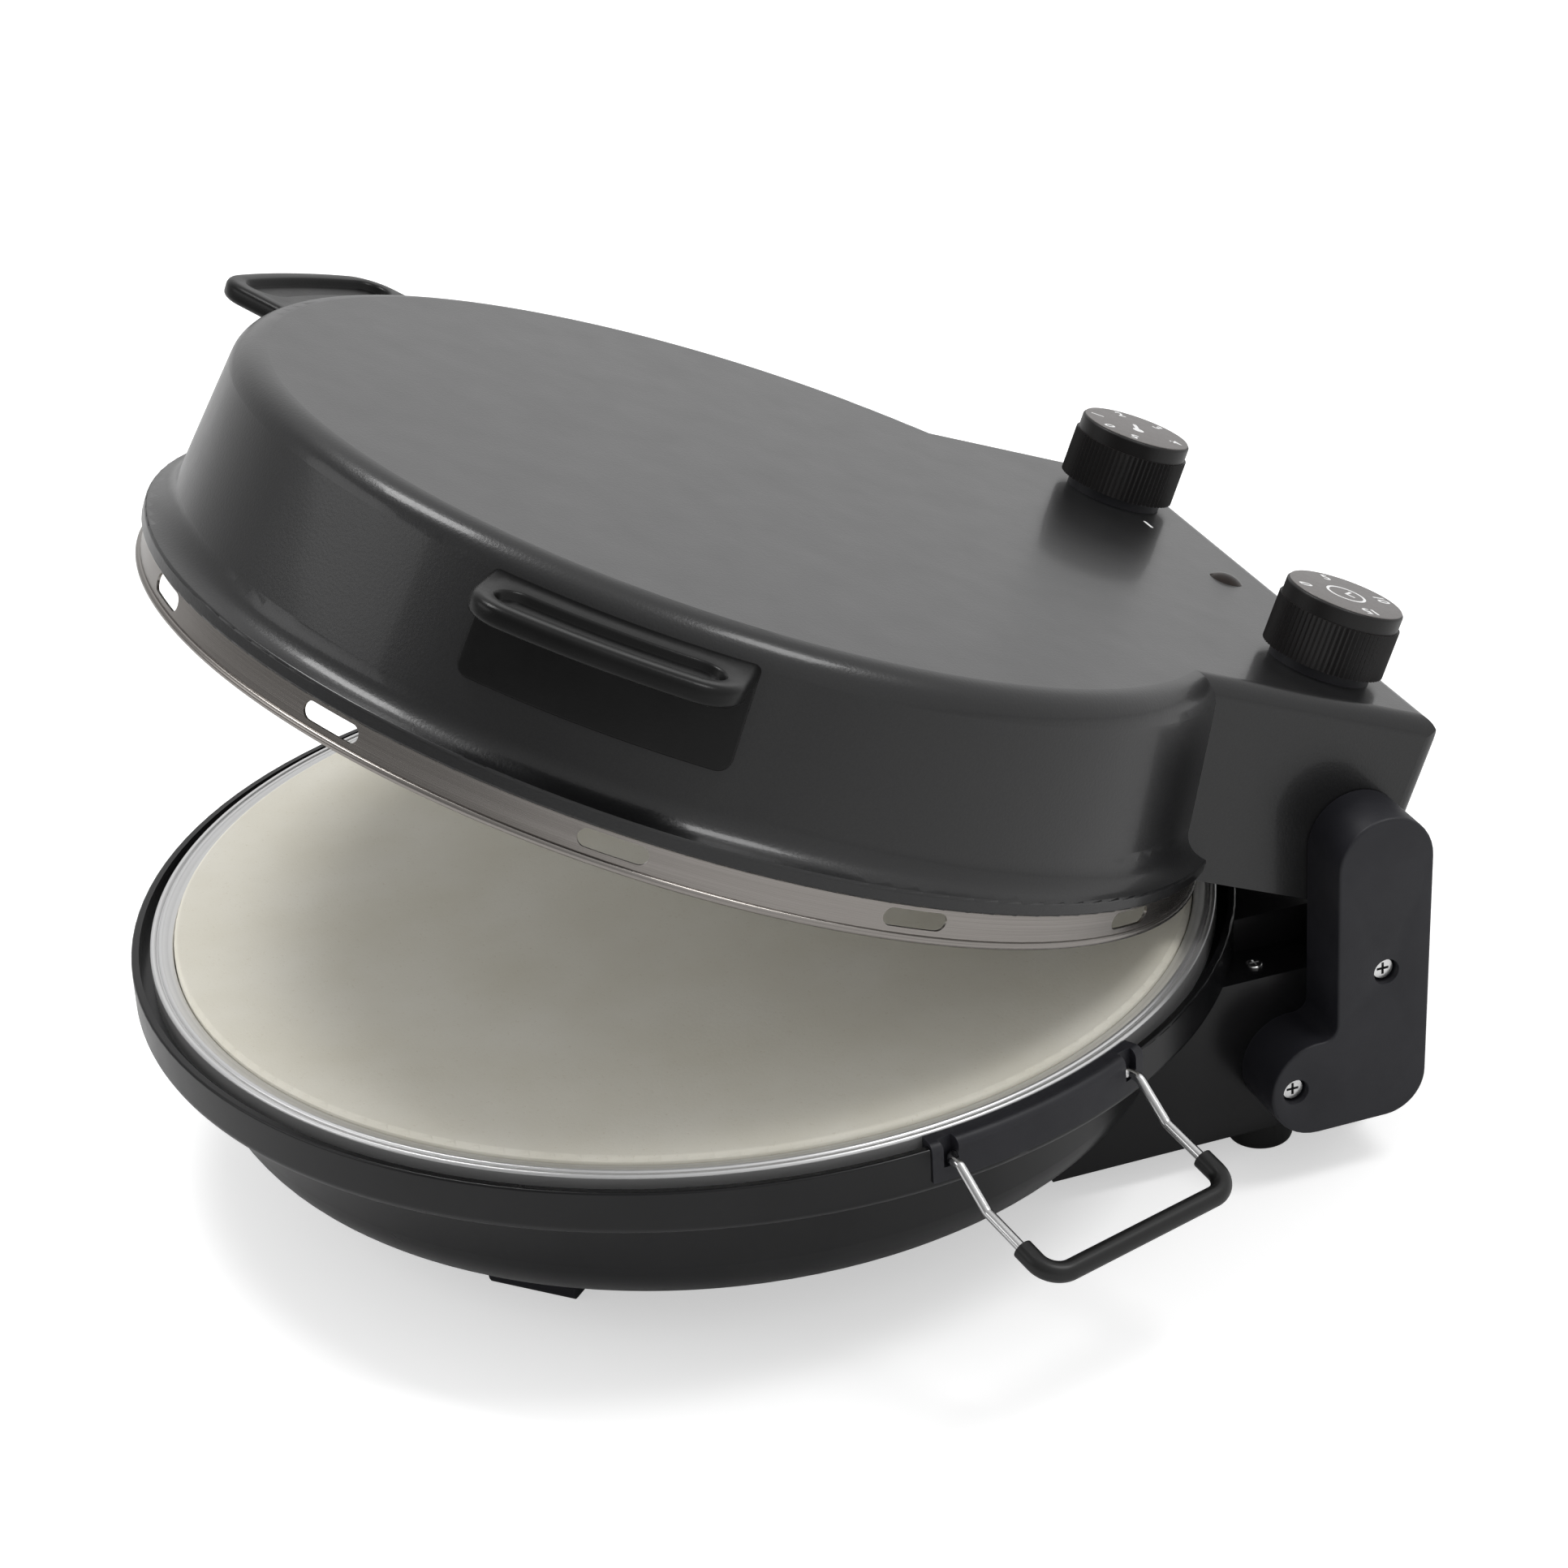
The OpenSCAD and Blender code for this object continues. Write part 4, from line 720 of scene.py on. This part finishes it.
def make_grip(side, name, node):
    """Moulded grip: rounded shelf with a long hollow on top, and the plate it stands on."""
    work = bmesh.new()
    low_z = GRIP_TOP_Z - GRIP_T
    steps = [(low_z + GRIP_LOW_EDGE - rise, inset)
             for inset, rise in reversed(quarter(GRIP_LOW_EDGE))]
    steps += [(GRIP_TOP_Z - GRIP_TOP_EDGE + rise, inset)
              for inset, rise in quarter(GRIP_TOP_EDGE, 6)]
    rings = loft(work, [[(x, y, z) for x, y in grip_outline(inset, z)] for z, inset in steps])
    fill(work, rings[0])
    hollow = loft(work, [[(x, y, GRIP_TOP_Z - down * MM) for x, y in hollow_outline(inward * MM)]
                         for inward, down in HOLLOW_WALL])
    fill(work, rings[-1], hollow[0])
    fill(work, hollow[-1])
    lifts = [(0.0, -PLATE_TUCK)]
    lifts += [(inset, PLATE_T - PLATE_EDGE + rise) for inset, rise in quarter(PLATE_EDGE, 3)]
    plate = loft(work, [plate_ring(inset, lift) for inset, lift in lifts])
    face = plate[-1]
    for k in range(len(face) // 2 - 1):
        work.faces.new((face[k], face[k + 1], face[-k - 2], face[-k - 1]))
    turn = mirrored(side) @ lid_turn() @ Matrix.Rotation(GRIP_AZ, 4, "Z")
    piece = finish_mesh(name, work, "lid", "moulding_dark", GRIP_PLASTIC, place=turn)
    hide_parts(node)


# ---------------------------------------------------------------- dials and panel

PRINT_LIFT = 0.02 * MM              # how far print stands off what it is printed on
TIMER_NUMBERS = [("0", 262), ("5", 179), ("10", 96), ("15", 5)]
HEAT_NUMBERS = [("0", 290), ("1", 242), ("2", 179), ("3", 121), ("4", 55), ("5", -30)]
NUMBER_R = 13.2 * MM
NUMBER_SIZE = 5.8 * MM
NUMBER_SWELL = 0.14 * MM
DIAL_PLATE_R = 17.5 * MM            # thin plate that covers a dial's whole face
DIAL_PLATE_T = 0.3 * MM
DIAL_PLATE_EDGE = 0.25 * MM
CLOCK_OUT_R = 6.2 * MM
CLOCK_IN_R = 5.3 * MM
SHORT_HAND = 2.9 * MM
LONG_HAND = 3.9 * MM
HAND_HALF = 0.45 * MM
CLOCK_SPIN = math.radians(40)
BULB_AT = (0, -2.4 * MM)
BULB_R = 1.9 * MM
BULB_GAP = 23                       # degrees of its outline that each half of the stem takes
STEM_TOP = (0, 3.6 * MM)
STEM_R = 0.75 * MM
METER_SPIN = math.radians(75)
PANEL_MARK_X = -KNOB_X + 27 * MM
PANEL_MARK_HALF = 2.4 * MM
PANEL_MARK_R = 0.6 * MM


def on_panel(x, y, lift, spin=0.0):
    """A place on the lid's flat top, a lift above it, with the lid at rest."""
    local = Matrix.Translation((x, y, DOME_TOP_Z + lift))
    return lid_turn() @ local @ Matrix.Rotation(spin, 4, "Z")


def on_face(knob_x, x=0.0, y=0.0, spin=0.0):
    """A place for print on a dial's plate, from its middle."""
    return on_panel(knob_x + x, KNOB_Y + y, KNOB_RISE + DIAL_PLATE_T + PRINT_LIFT, spin)


def print_number(text, body, place):
    curve = bpy.data.curves.new(f"{body}_number_{text}", "FONT")
    curve.body = text
    curve.size = NUMBER_SIZE
    curve.offset = NUMBER_SWELL
    curve.align_x = "CENTER"
    curve.align_y = "CENTER"
    curve.resolution_u = 4
    place_curve(curve.name, curve, body, DIAL_PRINT, place)


def print_shape(name, outlines, body, place):
    """Flat printed shape inside its first outline and outside the others."""
    work = bmesh.new()
    fill(work, *[[work.verts.new((x, y, 0.0)) for x, y in outline] for outline in outlines])
    finish_mesh(name, work, body, "white_plastic", DIAL_PRINT, place=place)


def make_dials():
    """Thin plates with their printed numbers, a plain clock and a plain thermometer."""
    plate = [(0.0, 0.0), (DIAL_PLATE_R, 0.0)]
    plate += [(DIAL_PLATE_R - inset, DIAL_PLATE_T - DIAL_PLATE_EDGE + rise)
              for inset, rise in quarter(DIAL_PLATE_EDGE)]
    plate.append((0.0, DIAL_PLATE_T))
    for knob_x, body, numbers in ((KNOB_X, "timer_dial", TIMER_NUMBERS),
                                  (-KNOB_X, "heat_dial", HEAT_NUMBERS)):
        lathe(f"{body}_plate", plate, body, "knob_face", 96, on_panel(knob_x, KNOB_Y, KNOB_RISE))
        for text, azimuth in numbers:
            a = math.radians(azimuth)
            x, y = NUMBER_R * math.cos(a), NUMBER_R * math.sin(a)
            print_number(text, body, on_face(knob_x, x, y, a - math.pi / 2))
    rim = [circle(CLOCK_OUT_R, 48), circle(CLOCK_IN_R, 48)]
    print_shape("timer_clock_rim", rim, "timer_dial", on_face(KNOB_X))
    w = HAND_HALF
    hands = [(-w, -w), (SHORT_HAND, -w), (SHORT_HAND, w), (w, w), (w, LONG_HAND), (-w, LONG_HAND)]
    print_shape("timer_clock_hands", [hands], "timer_dial", on_face(KNOB_X, spin=CLOCK_SPIN))
    meter = arc(BULB_AT, BULB_R, 90 + BULB_GAP, 450 - BULB_GAP, 24)
    meter += arc(STEM_TOP, STEM_R, 0, 180, 8)
    print_shape("heat_thermometer", [meter], "heat_dial", on_face(-KNOB_X, spin=METER_SPIN))
    mark = arc((PANEL_MARK_HALF, 0), PANEL_MARK_R, -90, 90, 8)
    mark += arc((-PANEL_MARK_HALF, 0), PANEL_MARK_R, 90, 270, 8)
    print_shape("heat_pointer_mark", [mark], "lid", on_panel(PANEL_MARK_X, KNOB_Y, PRINT_LIFT))


# ---------------------------------------------------------------- small fittings

HEAD_ROUND = 0.35                   # inset of a screw head's round edge, over its radius
HEAD_CROWN = 0.2                    # rise of that edge, over the radius
CROSS = [(0.55, 0.11, 1.0), (0.45, 0.08, 0.35)]     # arm and half width over the radius, and
                                                    # height over the rise: mouth, floor
LEDGE_SCREW_AT = (97.1 * MM, 145.1 * MM, RIM_Z - 13.5 * MM)
LEDGE_SCREW_R = 2.6 * MM
LEDGE_SCREW_RISE = 0.9 * MM


def cross_outline(a, w):
    """Outline of a cross recess from its arm and half width."""
    return [(a, -w), (a, w), (w, w), (w, a), (-w, a), (-w, w), (-a, w), (-a, -w),
            (-w, -w), (-w, -a), (w, -a), (w, -w)]


def make_screw_head(name, body, place, radius, rise):
    """Low round screw head with a tapered cross recess, its seat at the place's origin."""
    work = bmesh.new()
    steps = [(0.0, 0.0)] + [(inset, rise + HEAD_CROWN * (up / HEAD_ROUND - radius))
                            for inset, up in quarter(HEAD_ROUND * radius, 5)]
    rings = loft(work, [[(x, y, z) for x, y in circle(radius - inset, 32)] for inset, z in steps])
    recess = loft(work, [[(x, y, high * rise) for x, y in cross_outline(arm * radius, w * radius)]
                         for arm, w, high in CROSS])
    fill(work, rings[-1], recess[0])
    fill(work, recess[-1])
    work.faces.new(rings[0][::-1])
    finish_mesh(name, work, body, "screw_steel", place=place)


RIM_IN_R = 155 * MM
RIM_OUT_R = 162 * MM
RIM_T = 0.8 * MM
RIM_SHOULDER_R = 0.4 * MM
RIM_WELL_TOP_Z = RIM_Z - 1.3 * MM
RIDGE_R = 1 * MM
RIDGE_PITCH = 2.2 * MM
RIDGE_Z = RIM_Z - RIDGE_R
STONE_LEDGE = 8 * MM
STONE_LOW_Z = RIM_Z - 10.8 * MM
RIM_LOW_Z = RIM_Z - 9 * MM


def make_rim():
    """Spun steel rim: the stone's well, a sloping shoulder, two rolled ridges and a skirt."""
    outer = RIM_OUT_R - RIDGE_R
    inner = outer - RIDGE_PITCH
    profile = [(RIM_IN_R - STONE_LEDGE, STONE_LOW_Z - RIM_T), (RIM_IN_R - STONE_LEDGE, STONE_LOW_Z),
               (RIM_IN_R, STONE_LOW_Z), (RIM_IN_R, RIM_WELL_TOP_Z)]
    profile += arc((RIM_IN_R + RIM_SHOULDER_R, RIM_WELL_TOP_Z), RIM_SHOULDER_R, 180, 100, 4)
    profile += arc((inner, RIDGE_Z), RIDGE_R, 135, 12, 10)
    profile += arc((outer, RIDGE_Z), RIDGE_R, 168, 0, 14)
    profile += [(RIM_OUT_R, RIM_LOW_Z), (RIM_OUT_R - RIM_T, RIM_LOW_Z),
                (RIM_OUT_R - RIM_T, RIDGE_Z - RIM_T), (RIM_IN_R + RIM_T, RIDGE_Z - RIM_T),
                (RIM_IN_R + RIM_T, STONE_LOW_Z - RIM_T)]
    piece = lathe("stone_rim", profile, "base", "rim_steel", 288)
    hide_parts("steel_rim")


BEAD_RING_R = 163.35 * MM
BEAD_R = 1.24 * MM
BEAD_Z = RIM_Z + 1.6 * MM


def make_bead():
    """Smooth skin over the rolled bead at the lid band's lower edge."""
    section = circle(BEAD_R, 24, (BEAD_RING_R, BEAD_Z))
    lathe("band_bead", section, "lid", "ring_steel", 288, lid_turn())


LENS_Y = 168.5 * MM
LENS_R = 5.4 * MM
LENS_RISE = 1.9 * MM
LENS_SUNK = 1 * MM


def make_lens():
    """Low domed lens, sunk a little into the panel."""
    ball = (LENS_R ** 2 + LENS_RISE ** 2) / (2 * LENS_RISE)
    reach = math.degrees(math.asin(LENS_R / ball))
    dome = arc((0, LENS_RISE - ball), ball, 90 - reach, 90, 10)
    profile = [(0.0, -LENS_SUNK), (LENS_R, -LENS_SUNK)] + dome[:-1] + [(0.0, LENS_RISE)]
    piece = lathe("lamp_lens", profile, "lid", "lens_amber", 64, on_panel(0, LENS_Y, 0.0))
    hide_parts("indicator_lens")


def make_fittings():
    make_rim()
    make_bead()
    make_lens()
    x, y, z = LEDGE_SCREW_AT
    for side, name in ((1, "ledge_screw_right"), (-1, "ledge_screw_left")):
        place = Matrix.Translation((side * x, y, z))
        make_screw_head(name, "base", place, LEDGE_SCREW_R, LEDGE_SCREW_RISE)


# ---------------------------------------------------------------- stage and light

FLOOR_HALF = 6.0
FLOOR_GLOW = 0.5                    # what cameras see added to the lit floor
AMBIENT = 0.66                      # strength of the world's light on matt surfaces
ROOM_DIM, ROOM_BRIGHT = 0.30, 0.86  # what mirrors see in front, and beside and behind
ROOM_FROM_Y, ROOM_TO_Y = -0.75, 0.15
LAMP_AIM = (0, 0, 0.1)              # each lamp below: name, place, size and watts
LAMPS = [("key", (-0.55, -0.40, 2.0), (0.6, 0.6), 14.5),
         ("top", (0.66, 0.85, 1.9), (0.6, 0.6), 11),
         ("front", (-0.5, -2.0, 1.2), (1.6, 1.0), 7)]


def make_stage():
    """A wide pale floor that cameras see a little brighter than it is lit."""
    shader = Shader("studio_floor")
    shader.colour(shader.noise(3), 0.80, 0.82)
    shader.set(Roughness=0.9, Specular_IOR_Level=0.0, Emission_Color=(1, 1, 1, 1))
    path = shader.add("ShaderNodeLightPath")
    glow = shader.math("MULTIPLY", path.outputs["Is Camera Ray"], FLOOR_GLOW)
    shader.to(glow, "Emission Strength")
    work = bmesh.new()
    corners = [(-1, -1), (1, -1), (1, 1), (-1, 1)]
    work.faces.new([work.verts.new((x * FLOOR_HALF, y * FLOOR_HALF, 0.0)) for x, y in corners])
    mesh = bpy.data.meshes.new("floor")
    work.to_mesh(mesh)
    work.free()
    mesh.materials.append(shader.material)
    floor = bpy.data.objects.new("floor", mesh)
    bpy.context.scene.collection.objects.link(floor)


def add_lamp(name, at, size, power):
    data = bpy.data.lights.new(name, "AREA")
    data.shape = "RECTANGLE"
    data.size, data.size_y = size
    data.energy = power
    lamp = bpy.data.objects.new(name, data)
    aim = (Vector(LAMP_AIM) - Vector(at)).to_track_quat("-Z", "Y")
    lamp.matrix_world = Matrix.Translation(at) @ aim.to_matrix().to_4x4()
    bpy.context.scene.collection.objects.link(lamp)


def make_light():
    """Soft lamps in a white world: mirrors see it darker in front, cameras plain white."""
    world = bpy.data.worlds.new("studio")
    world.use_nodes = True
    bpy.context.scene.world = world
    tree = world.node_tree

    def calculate(operation, first, second):
        node = tree.nodes.new("ShaderNodeMath")
        node.operation = operation
        for socket, value in zip(node.inputs, (first, second)):
            if isinstance(value, float):
                socket.default_value = value
            else:
                tree.links.new(value, socket)
        return node.outputs["Value"]

    path = tree.nodes.new("ShaderNodeLightPath")
    glossy = path.outputs["Is Glossy Ray"]
    direction = tree.nodes.new("ShaderNodeTexCoord").outputs["Generated"]
    split = tree.nodes.new("ShaderNodeSeparateXYZ")
    tree.links.new(direction, split.inputs["Vector"])
    room = tree.nodes.new("ShaderNodeMapRange")
    room.inputs["From Min"].default_value = ROOM_FROM_Y
    room.inputs["From Max"].default_value = ROOM_TO_Y
    room.inputs["To Min"].default_value = ROOM_DIM
    room.inputs["To Max"].default_value = ROOM_BRIGHT
    tree.links.new(split.outputs["Y"], room.inputs["Value"])
    in_mirrors = calculate("MULTIPLY", glossy, room.outputs["Result"])
    on_matt = calculate("MULTIPLY", calculate("SUBTRACT", 1.0, glossy), AMBIENT)
    lit = calculate("ADD", in_mirrors, on_matt)
    strength = calculate("MAXIMUM", lit, path.outputs["Is Camera Ray"])
    background = tree.nodes["Background"]
    background.inputs["Color"].default_value = (1, 1, 1, 1)
    tree.links.new(strength, background.inputs["Strength"])
    for lamp in LAMPS:
        add_lamp(*lamp)


# ---------------------------------------------------------------- assembly

bpy.context.scene.view_settings.view_transform = "Standard"
make_camera()
make_stage()
make_light()
dress_nodes()
make_bail(1, "bail_wire_right", "right_bail", "carry_bail_right")
make_bail(-1, "bail_wire_left", "left_bail", "carry_bail_left")
make_cover(1, "hinge_boot_right", "hinge_cover_right")
make_cover(-1, "hinge_boot_left", "hinge_cover_left")
make_grip(1, "lid_grip_right", "lid_handle_right")
make_grip(-1, "lid_grip_left", "lid_handle_left")
make_dials()
make_fittings()
